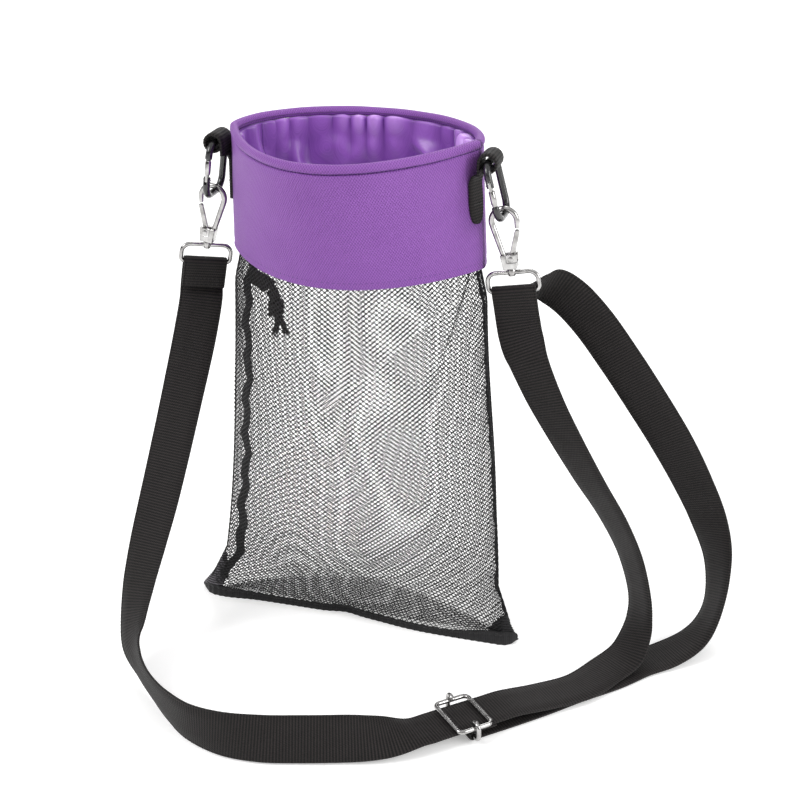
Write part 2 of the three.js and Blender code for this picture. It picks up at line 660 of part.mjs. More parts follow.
function hook(word, side) {
  const middle = bowTop() - BOW_RADIUS;
  const inXZ = ([x, z]) => new THREE.Vector3(x, 0, z);
  const bow = wire([
    [-2.6, BASE_TOP - 3], [-3.3, BASE_TOP],
    ...arc(0, middle, BOW_RADIUS, 196, -12, 14),
    [LEVER_TOP_OUT + 0.15, LEVER_TOP_DOWN + LEVER_WIDTH / 2 + 2.1],
  ].map(inXZ), HOOK_WIRE);
  const block = new THREE.Shape([
    [-BASE_FOOT_HALF_WIDTH, BASE_FOOT], [BASE_FOOT_HALF_WIDTH, BASE_FOOT],
    [BASE_TOP_HALF_WIDTH, BASE_TOP], [-BASE_TOP_HALF_WIDTH, BASE_TOP],
  ].map((p) => new THREE.Vector2(...p)));
  const upright = (geometry) => geometry.rotateX(Math.PI / 2);
  const slot = new THREE.BoxGeometry(12, LEVER_THICKNESS + 2 * CLEAR, 12)
    .translate(RIVET_OUT - RIVET_RADIUS - 1.6 + 6, 0, RIVET_DOWN - 1.9 + 6);
  const stemHole = new THREE.CylinderGeometry(STEM_RADIUS + CLEAR, STEM_RADIUS + CLEAR, 6, 20)
    .rotateX(Math.PI / 2).translate(0, 0, HEAD_FOOT - 3 + CLEAR);
  const headRoom = HEAD_TOP - HEAD_FOOT + 2 * CLEAR;
  const headHole = new THREE.CylinderGeometry(HEAD_RADIUS + CLEAR, HEAD_RADIUS + CLEAR, headRoom, 20)
    .rotateX(Math.PI / 2).translate(0, 0, (HEAD_TOP + HEAD_FOOT) / 2);
  const rivetHole = rodAlongY(RIVET_OUT, RIVET_DOWN, RIVET_RADIUS + CLEAR, 12);
  const body = solid(bow).add(solid(upright(slab(block, BASE_THICKNESS))))
    .subtract(solid(slot)).subtract(solid(stemHole)).subtract(solid(headHole)).subtract(solid(rivetHole));
  const lean = Math.atan2(LEVER_TOP_OUT - RIVET_OUT, LEVER_TOP_DOWN - RIVET_DOWN);
  const reach = Math.hypot(LEVER_TOP_OUT - RIVET_OUT, LEVER_TOP_DOWN - RIVET_DOWN);
  const half = LEVER_WIDTH / 2;
  const leverShape = new THREE.Shape([
    ...arc(0, 0, half + 0.2, 200, 340, 8), ...arc(0, reach, half, 0, 180, 8),
  ].map((p) => new THREE.Vector2(...p)));
  const leverSlab = upright(slab(leverShape, LEVER_THICKNESS)).rotateY(lean);
  const lever = solid(leverSlab.translate(RIVET_OUT, 0, RIVET_DOWN)).subtract(solid(rivetHole));
  place(`${word}_hook_body`, hangHook(geometryOf(body), side), BRIGHT);
  place(`${word}_hook_gate`, hangHook(geometryOf(lever), side), BRIGHT);
  const rivet = rodAlongY(RIVET_OUT, RIVET_DOWN, RIVET_RADIUS, BASE_THICKNESS + 0.8);
  place(`${word}_hook_rivet`, hangHook(rivet, side), BRIGHT);
}

function swivelRing(word, side) {
  const w = RING_HALF_WIDTH;
  const top = RING_TOP_CORNER;
  const low = RING_FOOT_CORNER;
  const outline = [
    ...arc(w - top, RING_TOP - top, top, 90, 0, 6), ...arc(w - low, RING_FOOT + low, low, 0, -90, 4),
    ...arc(-w + low, RING_FOOT + low, low, -90, -180, 4), ...arc(-w + top, RING_TOP - top, top, 180, 90, 6),
  ].map(([x, z]) => new THREE.Vector3(x, 0, z));
  const stemLength = HEAD_FOOT - RING_TOP + 0.5;
  const stem = new THREE.CylinderGeometry(STEM_RADIUS, STEM_RADIUS, stemLength, 16)
    .rotateX(Math.PI / 2).translate(0, 0, RING_TOP + stemLength / 2);
  const headHeight = HEAD_TOP - HEAD_FOOT;
  const head = new THREE.CylinderGeometry(HEAD_RADIUS, HEAD_RADIUS, headHeight, 16)
    .rotateX(Math.PI / 2).translate(0, 0, HEAD_FOOT + headHeight / 2);
  const body = solid(wire(outline, RING_WIRE, 8, true)).add(solid(stem)).add(solid(head));
  place(`${word}_swivel_ring`, hangHook(geometryOf(body).rotateZ(ringTurn(side)), side), BRIGHT);
}

// Points of a bent strip's cut, from its middle line, in the YZ plane
function bentStrip(line) {
  const h = STRAP_THICKNESS / 2;
  const rings = line.map(([y, z], i) => {
    const before = line[Math.max(i - 1, 0)];
    const after = line[Math.min(i + 1, line.length - 1)];
    const along = new THREE.Vector2(after[0] - before[0], after[1] - before[1]).normalize();
    return [[-1, -1], [1, -1], [1, 1], [-1, 1]].map(([a, b]) => new THREE.Vector3(
      (a * STRAP_WIDTH) / 2, y - along.y * b * h, z + along.x * b * h));
  });
  return loft(rings);
}

// A round of some reach about a hook's hinge, which the strap's ends follow so that they can swing
function swingRound(reach) {
  return rodAlongY(0, 0, reach, 2 * STRAP_WIDTH, 96);
}

function strapEnds() {
  const r = RING_WIRE + CLEAR + STRAP_THICKNESS / 2;
  const hangEnd = (strip, reach, side) => {
    const turned = strip.rotateZ(ringTurn(side));
    const cut = geometryOf(solid(turned).intersect(solid(swingRound(reach))));
    return hang(cut, side, HOOK_TILT, hookHinge(side));
  };
  const fold = bentStrip([[-r, -FOLD_REACH - 1], ...arc(0, RING_FOOT, r, 180, 0, 12), [r, FOLD_BACK_END]]);
  place("strap_left_end", hangEnd(fold, FOLD_REACH, -1), WEBBING);
  const over = arc(0, RING_FOOT, r, 180, 60, 9);
  const [y, z] = over[over.length - 1];
  const out = THREE.MathUtils.degToRad(-30);
  const bend = bentStrip([
    [-r, -BEND_REACH - 1], ...over,
    [y + BEND_BACK_REACH * Math.cos(out), z + BEND_BACK_REACH * Math.sin(out)],
  ]);
  place("strap_right_bend", hangEnd(bend, BEND_REACH, 1), WEBBING);
}

// Sets a piece drawn along X, with Y across the strap, on the lying slider
function onSlider(geometry) {
  const turn = Math.atan2(SLIDER_ALONG[1], SLIDER_ALONG[0]);
  return geometry.rotateZ(turn).translate(SLIDER_AT[0], SLIDER_AT[1], 0);
}

function slider() {
  const rise = SLIDER_AT[2] + STRAP_THICKNESS / 2 + CLEAR + SLIDER_WIRE;
  const sink = SLIDER_AT[2] - 1.5 * STRAP_THICKNESS - 2 * CLEAR - SLIDER_WIRE;
  const l = SLIDER_HALF_LENGTH;
  const w = SLIDER_HALF_WIDTH;
  const r = SLIDER_CORNER;
  const outline = [
    ...arc(l - r, w - r, r, 90, 0, 5), ...arc(l - r, -w + r, r, 0, -90, 5),
    ...arc(-l + r, -w + r, r, -90, -180, 5), ...arc(-l + r, w - r, r, 180, 90, 5),
  ].map(([x, y]) => new THREE.Vector3(x, y, rise));
  place("slider_frame", onSlider(wire(outline, SLIDER_WIRE, 10, true)), BRIGHT);
  const grip = 2 * SLIDER_WIRE + CLEAR;
  const turnUp = 2.4;
  const half = [
    ...arc(w + grip - turnUp, sink + turnUp, turnUp, -90, 0, 5), ...arc(w, rise, grip, 0, 140, 9),
  ];
  const bar = [
    ...half.map(([y, z]) => [-y, z]).reverse(), ...half,
  ].map(([y, z]) => new THREE.Vector3(0, y, z));
  place("slider_bar", onSlider(wire(bar, SLIDER_WIRE)), BRIGHT);
  const round = SLIDER_WIRE + CLEAR + STRAP_THICKNESS / 2;
  const tail = bentStrip([
    [TAIL_LENGTH, sink - round], ...arc(0, sink, round, -90, -270, 12), [TAIL_LENGTH, sink + round],
  ]).rotateZ(-Math.PI / 2).scale(1, -1, 1);
  tail.setIndex([...tail.index.array].reverse());
  place("strap_tail_loop", onSlider(tail), WEBBING);
}

function strap() {
  const room = (reach, side) =>
    solid(hang(swingRound(reach + SWING_GAP), side, HOOK_TILT, hookHinge(side)));
  const main = solid(band(MAIN_ROUTE, STRAP_WIDTH, STRAP_THICKNESS))
    .subtract(room(FOLD_REACH, -1)).subtract(room(BEND_REACH, 1));
  place("strap_main", geometryOf(main), WEBBING);
  place("strap_rear", band(REAR_ROUTE, STRAP_WIDTH, STRAP_THICKNESS), WEBBING);
}

function drawcord() {
  const cord = solid(band(CORD_ROUTE, CORD_WIDTH, CORD_THICKNESS));
  const knot = new THREE.SphereGeometry(1, 14, 10).scale(...KNOT_SIZE).translate(...KNOT_AT);
  const tails = TAIL_ROUTES.map((route) =>
    solid(wire(route.map((p) => new THREE.Vector3(...p)), CORD_TAIL_RADIUS, 8)));
  place("drawcord", geometryOf(tails.reduce((all, t) => all.add(t), cord.add(solid(knot)))), WEBBING);
}

collar();
sleeve();
net();
seamTape("left_seam_tape", -1);
seamTape("right_seam_tape", 1);
binding();
for (const [word, side] of [["left", -1], ["right", 1]]) {
  tab(`${word}_tab`, side);
  carabiner(word, side);
  hook(word, side);
  swivelRing(word, side);
}
strapEnds();
strap();
slider();
drawcord();

export default group;
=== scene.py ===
"""Looks of a net peg bag: cloth collar, satin sleeve, net, webbing strap and metal fittings on the frame."""
import json
import math
import random

import bmesh
import bpy
import numpy as np
from mathutils import Vector
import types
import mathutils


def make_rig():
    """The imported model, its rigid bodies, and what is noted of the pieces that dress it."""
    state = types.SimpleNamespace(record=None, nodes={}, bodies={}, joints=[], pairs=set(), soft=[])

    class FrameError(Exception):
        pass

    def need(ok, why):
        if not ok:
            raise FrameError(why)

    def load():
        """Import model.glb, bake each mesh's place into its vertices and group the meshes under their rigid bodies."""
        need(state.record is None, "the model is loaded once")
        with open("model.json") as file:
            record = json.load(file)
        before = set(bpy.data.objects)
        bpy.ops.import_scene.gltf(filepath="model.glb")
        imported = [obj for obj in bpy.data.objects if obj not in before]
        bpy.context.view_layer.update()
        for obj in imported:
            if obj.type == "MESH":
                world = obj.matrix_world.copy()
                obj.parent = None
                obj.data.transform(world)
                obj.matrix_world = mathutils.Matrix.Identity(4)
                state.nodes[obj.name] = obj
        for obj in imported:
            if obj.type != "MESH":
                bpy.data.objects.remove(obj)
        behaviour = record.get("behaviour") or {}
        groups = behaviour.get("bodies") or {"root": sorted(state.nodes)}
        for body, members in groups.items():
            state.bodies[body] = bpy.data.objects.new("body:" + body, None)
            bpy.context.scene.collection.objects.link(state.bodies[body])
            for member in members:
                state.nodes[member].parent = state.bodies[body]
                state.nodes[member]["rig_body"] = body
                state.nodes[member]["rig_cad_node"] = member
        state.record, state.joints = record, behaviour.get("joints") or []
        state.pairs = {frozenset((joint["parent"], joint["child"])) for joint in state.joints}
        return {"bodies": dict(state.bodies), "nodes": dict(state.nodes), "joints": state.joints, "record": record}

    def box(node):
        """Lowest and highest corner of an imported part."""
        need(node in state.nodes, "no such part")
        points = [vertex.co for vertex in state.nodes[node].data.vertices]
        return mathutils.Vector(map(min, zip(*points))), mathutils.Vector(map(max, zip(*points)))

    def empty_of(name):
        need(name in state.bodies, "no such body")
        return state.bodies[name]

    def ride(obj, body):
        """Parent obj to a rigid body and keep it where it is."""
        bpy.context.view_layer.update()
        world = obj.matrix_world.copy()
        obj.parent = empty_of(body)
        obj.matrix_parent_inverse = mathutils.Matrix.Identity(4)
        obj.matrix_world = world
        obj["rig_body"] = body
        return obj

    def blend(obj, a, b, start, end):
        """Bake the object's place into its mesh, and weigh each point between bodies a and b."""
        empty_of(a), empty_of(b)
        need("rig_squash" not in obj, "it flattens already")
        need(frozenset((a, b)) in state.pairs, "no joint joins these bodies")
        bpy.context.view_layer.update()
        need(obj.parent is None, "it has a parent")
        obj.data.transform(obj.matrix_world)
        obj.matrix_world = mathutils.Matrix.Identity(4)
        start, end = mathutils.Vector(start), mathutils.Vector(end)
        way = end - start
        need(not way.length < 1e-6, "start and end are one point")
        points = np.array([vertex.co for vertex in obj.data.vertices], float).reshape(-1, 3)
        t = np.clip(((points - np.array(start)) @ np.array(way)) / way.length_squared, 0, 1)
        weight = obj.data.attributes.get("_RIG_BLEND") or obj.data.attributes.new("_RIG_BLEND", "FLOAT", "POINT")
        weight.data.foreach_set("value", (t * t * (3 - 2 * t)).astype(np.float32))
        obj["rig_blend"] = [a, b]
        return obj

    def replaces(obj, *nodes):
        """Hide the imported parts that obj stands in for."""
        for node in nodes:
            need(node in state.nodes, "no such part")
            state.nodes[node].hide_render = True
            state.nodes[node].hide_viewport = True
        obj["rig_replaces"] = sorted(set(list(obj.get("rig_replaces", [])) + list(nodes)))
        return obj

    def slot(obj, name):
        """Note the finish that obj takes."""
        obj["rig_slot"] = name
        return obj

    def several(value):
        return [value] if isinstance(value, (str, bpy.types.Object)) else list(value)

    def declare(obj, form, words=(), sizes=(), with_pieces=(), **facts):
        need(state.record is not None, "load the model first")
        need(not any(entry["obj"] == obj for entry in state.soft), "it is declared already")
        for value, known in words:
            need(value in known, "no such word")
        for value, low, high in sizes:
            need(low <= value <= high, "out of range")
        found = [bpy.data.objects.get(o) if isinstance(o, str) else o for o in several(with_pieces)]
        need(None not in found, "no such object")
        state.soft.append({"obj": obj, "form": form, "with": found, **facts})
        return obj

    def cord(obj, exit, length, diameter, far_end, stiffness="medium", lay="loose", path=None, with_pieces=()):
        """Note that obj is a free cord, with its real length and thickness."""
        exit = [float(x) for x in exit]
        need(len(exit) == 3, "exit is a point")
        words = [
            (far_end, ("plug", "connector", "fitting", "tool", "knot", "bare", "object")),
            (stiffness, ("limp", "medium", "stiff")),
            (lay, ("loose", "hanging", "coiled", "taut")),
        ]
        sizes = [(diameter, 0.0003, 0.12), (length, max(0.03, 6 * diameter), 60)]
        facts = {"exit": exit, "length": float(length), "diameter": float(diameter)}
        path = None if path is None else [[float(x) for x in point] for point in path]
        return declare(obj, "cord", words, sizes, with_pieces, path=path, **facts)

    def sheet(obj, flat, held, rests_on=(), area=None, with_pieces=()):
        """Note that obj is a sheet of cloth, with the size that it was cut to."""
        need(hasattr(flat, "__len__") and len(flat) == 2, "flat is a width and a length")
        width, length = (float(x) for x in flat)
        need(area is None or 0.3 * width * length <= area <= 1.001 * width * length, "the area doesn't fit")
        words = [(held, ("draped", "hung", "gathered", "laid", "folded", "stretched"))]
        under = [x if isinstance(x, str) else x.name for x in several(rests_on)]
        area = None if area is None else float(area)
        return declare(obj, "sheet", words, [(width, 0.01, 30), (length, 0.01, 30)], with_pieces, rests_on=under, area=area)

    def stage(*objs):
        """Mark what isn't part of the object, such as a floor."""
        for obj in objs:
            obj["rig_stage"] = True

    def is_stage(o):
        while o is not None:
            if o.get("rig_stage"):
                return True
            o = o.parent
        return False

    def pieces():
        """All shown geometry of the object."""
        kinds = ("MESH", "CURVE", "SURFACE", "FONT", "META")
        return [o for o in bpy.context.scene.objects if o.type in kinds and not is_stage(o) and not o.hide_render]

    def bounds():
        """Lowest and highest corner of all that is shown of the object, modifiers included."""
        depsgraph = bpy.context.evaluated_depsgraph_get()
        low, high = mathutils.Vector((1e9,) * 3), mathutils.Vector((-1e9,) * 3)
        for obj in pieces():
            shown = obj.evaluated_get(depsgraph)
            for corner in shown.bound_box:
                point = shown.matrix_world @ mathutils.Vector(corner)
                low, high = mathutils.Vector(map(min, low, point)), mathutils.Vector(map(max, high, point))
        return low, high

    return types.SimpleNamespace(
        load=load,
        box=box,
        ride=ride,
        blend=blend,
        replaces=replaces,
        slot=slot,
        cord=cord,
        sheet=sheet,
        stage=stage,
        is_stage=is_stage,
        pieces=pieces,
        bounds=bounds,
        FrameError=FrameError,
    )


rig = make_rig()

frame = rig.load()
CAD_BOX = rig.bounds()

MM = 0.001
SIDES = (("left", -1), ("right", 1))
JOINTS = {joint["name"]: joint for joint in frame["joints"]}
random.seed(7)

# Camera
CAMERA_AT = (0.2428, -0.7547, 0.5041)
CAMERA_AIM = (0.0234, 0.0107, 0.1412)
CAMERA_LENS = 67.5
CAMERA_SENSOR = 36

# Collar, rim and sleeve
COLLAR_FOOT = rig.box("collar_band")[0].z
COLLAR_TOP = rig.box("collar_band")[1].z
COLLAR_THICKNESS = 2.4 * MM
RIM_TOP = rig.box("rim_piping")[1].z
PIPING_RADIUS = (RIM_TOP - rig.box("rim_piping")[0].z) / 2
PIPING_INSET = 1.9 * MM
HEM_HEIGHT = 4.2 * MM
FRONT_HOLLOW = 1.8
HEM_FOLD = 0.35 * MM
HEM_FOLD_WIDTH = 0.9 * MM
COLLAR_COLUMNS = 300
COLLAR_ROWS = 26
STITCH_RADIUS = 0.2 * MM
STITCH_SIDES = 6
SLEEVE_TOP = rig.box("closure_sleeve")[1].z
SLEEVE_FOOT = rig.box("closure_sleeve")[0].z
SLEEVE_THICKNESS = 0.7 * MM
SLEEVE_TOP_INSET = 3.2 * MM
SLEEVE_FOOT_INSET = 5.6 * MM
SLEEVE_FOLD_DEPTH = 10 * MM
SLEEVE_FOLDS = 11
GATHERS = 31
GATHER_DEPTH = 3.4 * MM
GATHER_RISE = 2.2 * MM
ROLL_RISE = 3.8 * MM
SLEEVE_SEAM_TURN = math.radians(157)
SLEEVE_COLUMNS = 420
SLEEVE_ROWS = 60
CREASE_DEPTH = 0.6 * MM
CROWN_SWELL = 1.6 * MM
SLEEVE_SEAM_RADIUS = 0.35 * MM
EYELET_RADIUS = 1.2 * MM
EYELET_WIRE = 0.45 * MM
EYELET_DOWN = 0.22
EYELET_TURN = math.radians(27)
TUNNEL_TURN = math.radians(24)
TUNNEL_BULGE = 8 * MM

# Net pouch
NET_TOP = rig.box("net_front")[1].z
NET_TUCK = COLLAR_THICKNESS + 1.1 * MM
NET_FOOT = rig.box("net_front")[0].z
SEAM_HALF_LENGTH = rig.box("bottom_binding")[1].x
SEAM_Y = -8 * MM
NET_SWELL_SHARE = 0.1
SIDE_FLARE = 16 * MM
EAR_START = 0.84
NET_LEAN = 4 * MM
CORNER_TUCK = 0.8 * MM
NET_BELLY = 9 * MM
BACK_DEPTH_AT_FLOOR = 44 * MM
BACK_SWELL = 4 * MM
NET_EDGE = 0.8 * MM
NET_SIDE_GAP = 0.4 * MM
NET_END_ANGLE = 0.06
NET_COLUMNS = 121
NET_ROWS = 30
NET_UNEVENNESS = 0.5 * MM
FOOT_HOLLOW = 1.9
# The back panel where it turns under: share of the way down, height, and share of its depth
BACK_TURN_TOP = 10 * MM
BACK_TURN = [(0.985, 4 * MM, 0.98), (0.999, 0.9 * MM, 0.9)]
BACK_TURN += [(1, 0.45 * MM, reach) for reach in (0.76, 0.5, 0.25, 0.06)]
BACK_CREASE = {"top": 0.87, "foot": 0.60, "end": 0.5, "width": 0.026, "pull": 0.88}
HOLE_STEP_ACROSS = 1.9 * MM
HOLE_STEP_DOWN = 1.36 * MM
BACK_STRETCH = 1.13
THREAD_RADIUS = 0.21 * MM
KNOT_RADIUS = 0.35 * MM
CROSSING_LIFT = 0.14 * MM
TAPE_WIDTH = {"left": 4.6 * MM, "right": 1.2 * MM}
TAPE_INSET = {"left": 5.4 * MM, "right": 0.4 * MM}
TAPE_THICKNESS = 1.0 * MM
TAPE_WAVE = {"left": 1.1 * MM, "right": 0.2 * MM}
# Section of the seam allowance: share of its width, and share of its half thickness
TAPE_SECTION = np.array([
    (0, 0), (0.04, 0.8), (0.3, 1), (0.6, 1), (0.93, 0.8),
    (1, 0), (0.93, -0.8), (0.6, -1), (0.3, -1), (0.04, -0.8),
])
TAPE_ROWS = 190
TAPE_SWAY = 0.9 * MM
TAPE_PUCKER = 0.25 * MM
SIDE_SEAM_RADIUS = 0.48 * MM
BINDING_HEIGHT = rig.box("bottom_binding")[1].z
BINDING_THICKNESS = 2.4 * MM
TAPE_TOP = COLLAR_FOOT - 2 * MM
TAPE_FOOT = BINDING_HEIGHT + 5 * MM
BINDING_BACK_INSET = 1 * MM
BINDING_TIP_START = 0.935
BINDING_TIP_LENGTH = 0.066
BINDING_COLUMNS = 480
BINDING_RIPPLE = 0.2 * MM
# Section of the binding: share of its depth from front to back, and share of its height
BINDING_SECTION = np.array([
    (0.15, 0), (0.85, 0), (1, 0.04), (1, 0.3), (1, 0.6), (1, 0.94), (0.8, 1),
    (0.3, 1), (0, 0.95), (0, 0.78), (0.14, 0.72), (0, 0.66), (0, 0.3), (0, 0.04),
])
# Stitches of the bottom seam: starts and length by half the seam's length, height by the binding's
SEAM_STITCH_STARTS = np.linspace(-0.92, 0.9, 60)
SEAM_STITCH = 0.02
SEAM_STITCH_HEIGHT = 0.72
EAR_HEIGHT = {"left": 33 * MM, "right": 19 * MM}
EAR_DEPTH = {"left": 15 * MM, "right": 21 * MM}
EAR_RIB = 1.75 * MM
EAR_POINT = {"left": 3.7 * MM, "right": 1.5 * MM}
EAR_SECTION = np.array([
    (0, 0), (0.05, 0.7), (0.35, 1), (0.7, 0.7), (1, 0), (0.7, -0.7), (0.35, -1), (0.05, -0.7),
])

# Tabs
TAB_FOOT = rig.box("right_tab")[0].z
TAB_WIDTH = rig.box("right_tab")[1].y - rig.box("right_tab")[0].y
TAB_Y = (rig.box("right_tab")[1].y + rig.box("right_tab")[0].y) / 2
TAB_THICKNESS = 1.5 * MM
TAB_SHIFT = {"left": 5 * MM, "right": -2.3 * MM}
TAB_WIDTH_SHARE = {"left": 0.6, "right": 0.56}
LOOP_RADIUS = 4.8 * MM
# The sewn strip: its rounded foot, its share of the tab, and where below the loop it leaves the collar
TAB_ROUND_FOOT = 12 * MM
STRIP_SHARE = 0.45
STRIP_LETS_GO = 13 * MM
STRIP_FREE = 1 * MM
TAB_STITCH_ROWS = (11 * MM, 24 * MM)
TAB_STITCH = 1.6 * MM

# Carabiners, drawn in their YZ plane from the middle of the top wire
CARABINER_WIRE = 2.0 * MM
CARABINER_HALF_WIDTH = 11.5 * MM
CARABINER_TOP_RADIUS = 7 * MM
CARABINER_FOOT_RADIUS = 7.2 * MM
GATE_WIRE = 1.7 * MM
GATE_NOSE = -8.3 * MM
GATE_PIVOT = -20 * MM
GATE_SHOULDER = -16.9 * MM
FORK_END = -18.5 * MM
FORK_FOOT = -22.4 * MM
FORK_SLOT = 2.0 * MM
TONGUE = 1.4 * MM
PIN_RADIUS = 0.6 * MM
PIN_HALF_LENGTH = 1.75 * MM
CHEEK_MIDDLE = 1.4 * MM
TONGUE_HALF_WIDTH = 1.3 * MM
TONGUE_DROP = 1.9 * MM
WIRE_SIDES = 24

# Snap hooks and rings, drawn in their XZ plane from the middle of the carabiner's lower wire
HOOK_WIRE = 1.5 * MM
BOW_RADIUS = 7 * MM
BOW_MIDDLE = -3.2 * MM
NOSE_FOOT = -7.4 * MM
BASE_TOP = -21.5 * MM
BASE_FOOT = -29.5 * MM
BASE_TOP_HALF_WIDTH = 4.6 * MM
BASE_FOOT_HALF_WIDTH = 3.7 * MM
BASE_THICKNESS = 6.6 * MM
BOW_ROOT = (-2.6 * MM, BASE_TOP - 3 * MM)
BOW_SHOULDER = (-3.3 * MM, BASE_TOP)
SLOT_GAP = 1.6 * MM
SLOT_DROP = 1.9 * MM
BASE_OVERLAP = 0.05 * MM
BASE_EDGE = 0.35 * MM
BOW_SECTIONS = 44
RIVET_OUT = 1.2 * MM
RIVET_DOWN = -23.9 * MM
RIVET_RADIUS = 1.0 * MM
RIVET_HEAD = 1.55 * MM
LEVER_WIDTH = 2.6 * MM
LEVER_THICKNESS = 2.0 * MM
LEVER_TOP = (6.2 * MM, -9.6 * MM)
LEVER_SLOT = 2.6 * MM
LEVER_EDGE = 0.55 * MM
STEM_RADIUS = 1.65 * MM
STEM_TOP = -28 * MM
BOSS_RADIUS = 2.3 * MM
BOSS_DROP = 2.1 * MM
RING_WIRE = 1.25 * MM
RING_HALF_WIDTH = 14.25 * MM
RING_TOP = -32 * MM
RING_FOOT = -42.5 * MM
RING_TOP_CORNER = 5 * MM
RING_FOOT_CORNER = 2.2 * MM
RING_TURN = {"left": math.radians(32), "right": 0.0}

# Strap and slider
STRAP_WIDTH = 25 * MM
STRAP_THICKNESS = 1.4 * MM
RIB_PITCH = 1.65 * MM
RIB_HEIGHT = 0.11 * MM
RINGS_PER_RIB = 4
FOLD_SECTIONS = 400
FOLD_END = -57.5 * MM
FOLD_REACH = 58 * MM
FOLD_MEETS = -48 * MM
BEND_STARTS = -50 * MM
BEND_BACK_REACH = 4.5 * MM
BEND_BACK_TURN = math.radians(-30)
# How deep below a hook's hinge the strap passes from the ring to the hook, the carabiner and the bag
STRAP_MARKS = (58 * MM, 96 * MM, 136 * MM, 212 * MM)
# The same behind the right hook, from the hook on
REAR_MARKS = (88 * MM, 124 * MM, 182 * MM)
# Where the strap behind the right ring twists as the ring turns, from the first point of its rear route
TWIST_STRETCH = (-16 * MM, 8 * MM)
# Where the strap bends as the slider moves, from the slider's middle
SLIDE_STRETCH = (82 * MM, 25.5 * MM)
FOLD_STITCH_ROWS = (-52 * MM, -55.5 * MM)
FOLD_STITCH_STARTS = np.linspace(-10.5 * MM, 9 * MM, 9)
FOLD_STITCH = 1.7 * MM
CLEAR = 0.3 * MM
SLIDER_ALONG = np.array(JOINTS["slider_slide"]["axis"])
SLIDER_ACROSS = np.array([-SLIDER_ALONG[1], SLIDER_ALONG[0], 0])
SLIDER_AT = np.array([sum(pair) / 2 for pair in zip(*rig.box("slider_frame"))])
STRAP_LIFT = 7.3 * MM
SLIDER_WIRE = 1.3 * MM
SLIDER_HALF_LENGTH = 10 * MM
SLIDER_HALF_WIDTH = 14.3 * MM
SLIDER_CORNER = 3 * MM
SLIDER_RISE = STRAP_LIFT + STRAP_THICKNESS / 2 + CLEAR + SLIDER_WIRE
SLIDER_SINK = STRAP_LIFT - 1.5 * STRAP_THICKNESS - 2 * CLEAR - SLIDER_WIRE
TAIL_LENGTH = 14 * MM
REAR_LIFT = 1.05 * MM
SLIDER_GRIP = 2 * SLIDER_WIRE + CLEAR
SLIDER_TURN_UP = 2.4 * MM

# Drawcord
CORD_WIDTH = 8.5 * MM
CORD_THICKNESS = 2.4 * MM
CORD_RIB = 1.5 * MM
CORD_RIB_HEIGHT = 0.2 * MM
CORD_SECTIONS = 190
TAIL_RADIUS = 1.6 * MM
TAIL_RIB = 1.1 * MM
TAIL_SECTIONS = 60
KNOT_SECTIONS = 90
KNOT_WRAPS = 2.2
KNOT_HALF_WIDTH = 3.3 * MM
KNOT_WIRE = 1.7 * MM
KNOT_OVER_WIRE = 1.5 * MM
KNOT_CORE = 2.6 * MM
FRAY_COUNT = 15
FRAY_SPREAD = 1.3 * MM
FRAY_ROOT = 1 * MM
FRAY_REACH = (2.5 * MM, 5 * MM)
FRAY_BEND = 0.3 * MM
FRAY_RADII = np.array([0.28, 0.24, 0.12]) * MM

# Stage
FLOOR_REACH = 6.0
FLOOR_GAP = 0.05 * MM
FLOOR_GLOW = 0.32
# Brightness of the light tent by height, as what lights the object and as what is seen
TENT_STOPS = [(0.0, 0.32), (0.07, 0.08), (0.3, 0.11), (0.44, 0.6), (0.65, 0.8)]
BACKDROP_STOPS = [(0.19, 1.0), (0.22, 0.05), (0.43, 0.07), (0.5, 0.6), (0.65, 0.8)]
# Places of the colour inputs and output of a mix node
MIX_FIRST, MIX_SECOND, MIX_RESULT = 6, 7, 2
LAMPS = {
    "key": {"at": (-1.1, -1.0, 1.5), "aim": (0, 0, 0.15), "size": 0.9, "power": 17},
    "fill": {"at": (1.75, -0.3, 0.9), "aim": (0, 0, 0.2), "size": 1.2, "power": 18},
    "back": {"at": (-0.3, 1.5, 1.6), "aim": (0, 0, 0.2), "size": 1.0, "power": 9},
}


def on_slider(along, z):
    """A point above the lying slider's long axis."""
    x, y = (SLIDER_AT + along * SLIDER_ALONG)[:2]
    return (x, y, z)


# Route of the strap: middle of the webbing, and the direction from its outer edge to its inner edge
LEFT_ROUTE = [
    ((-0.0937, -0.0001, 0.1966), (0.86, 0.5, -0.1)),
    ((-0.0969, -0.0048, 0.175), (0.93, 0.34, 0)),
    ((-0.1013, -0.0174, 0.1425), (0.98, 0.18, 0.03)),
    ((-0.1045, -0.033, 0.112), (1, 0.1, 0.06)),
    ((-0.1075, -0.047, 0.0855), (1, 0.03, 0.1)),
    ((-0.11, -0.0595, 0.064), (1, -0.1, 0.15)),
    ((-0.111, -0.0735, 0.044), (0.92, -0.25, 0.25)),
    ((-0.11, -0.0845, 0.03), (0.85, -0.4, 0.35)),
    ((-0.106, -0.0965, 0.0205), (0.72, -0.52, 0.45)),
    ((-0.0955, -0.1105, 0.015), (0.5, -0.62, 0.6)),
    ((-0.0815, -0.126, 0.013), (0.35, -0.55, 0.75)),
    ((-0.066, -0.14, 0.013), (0.25, -0.35, 0.9)),
    ((-0.0485, -0.151, 0.0132), (0.2, -0.1, 0.97)),
    ((-0.028, -0.1555, 0.0132), (0.05, 0.2, 0.97)),
    ((-0.0064, -0.1525, 0.0122), (-0.1, 0.45, 0.88)),
    ((0.0133, -0.1464, 0.0115), (-0.16, 0.57, 0.81)),
    ((0.0334, -0.1398, 0.0112), (-0.2, 0.6, 0.77)),
    ((0.054, -0.13, 0.0094), (-0.45, 0.7, 0.45)),
]
SLIDER_STOPS = (-27, -18, -9, 0, 9, 18, 28)
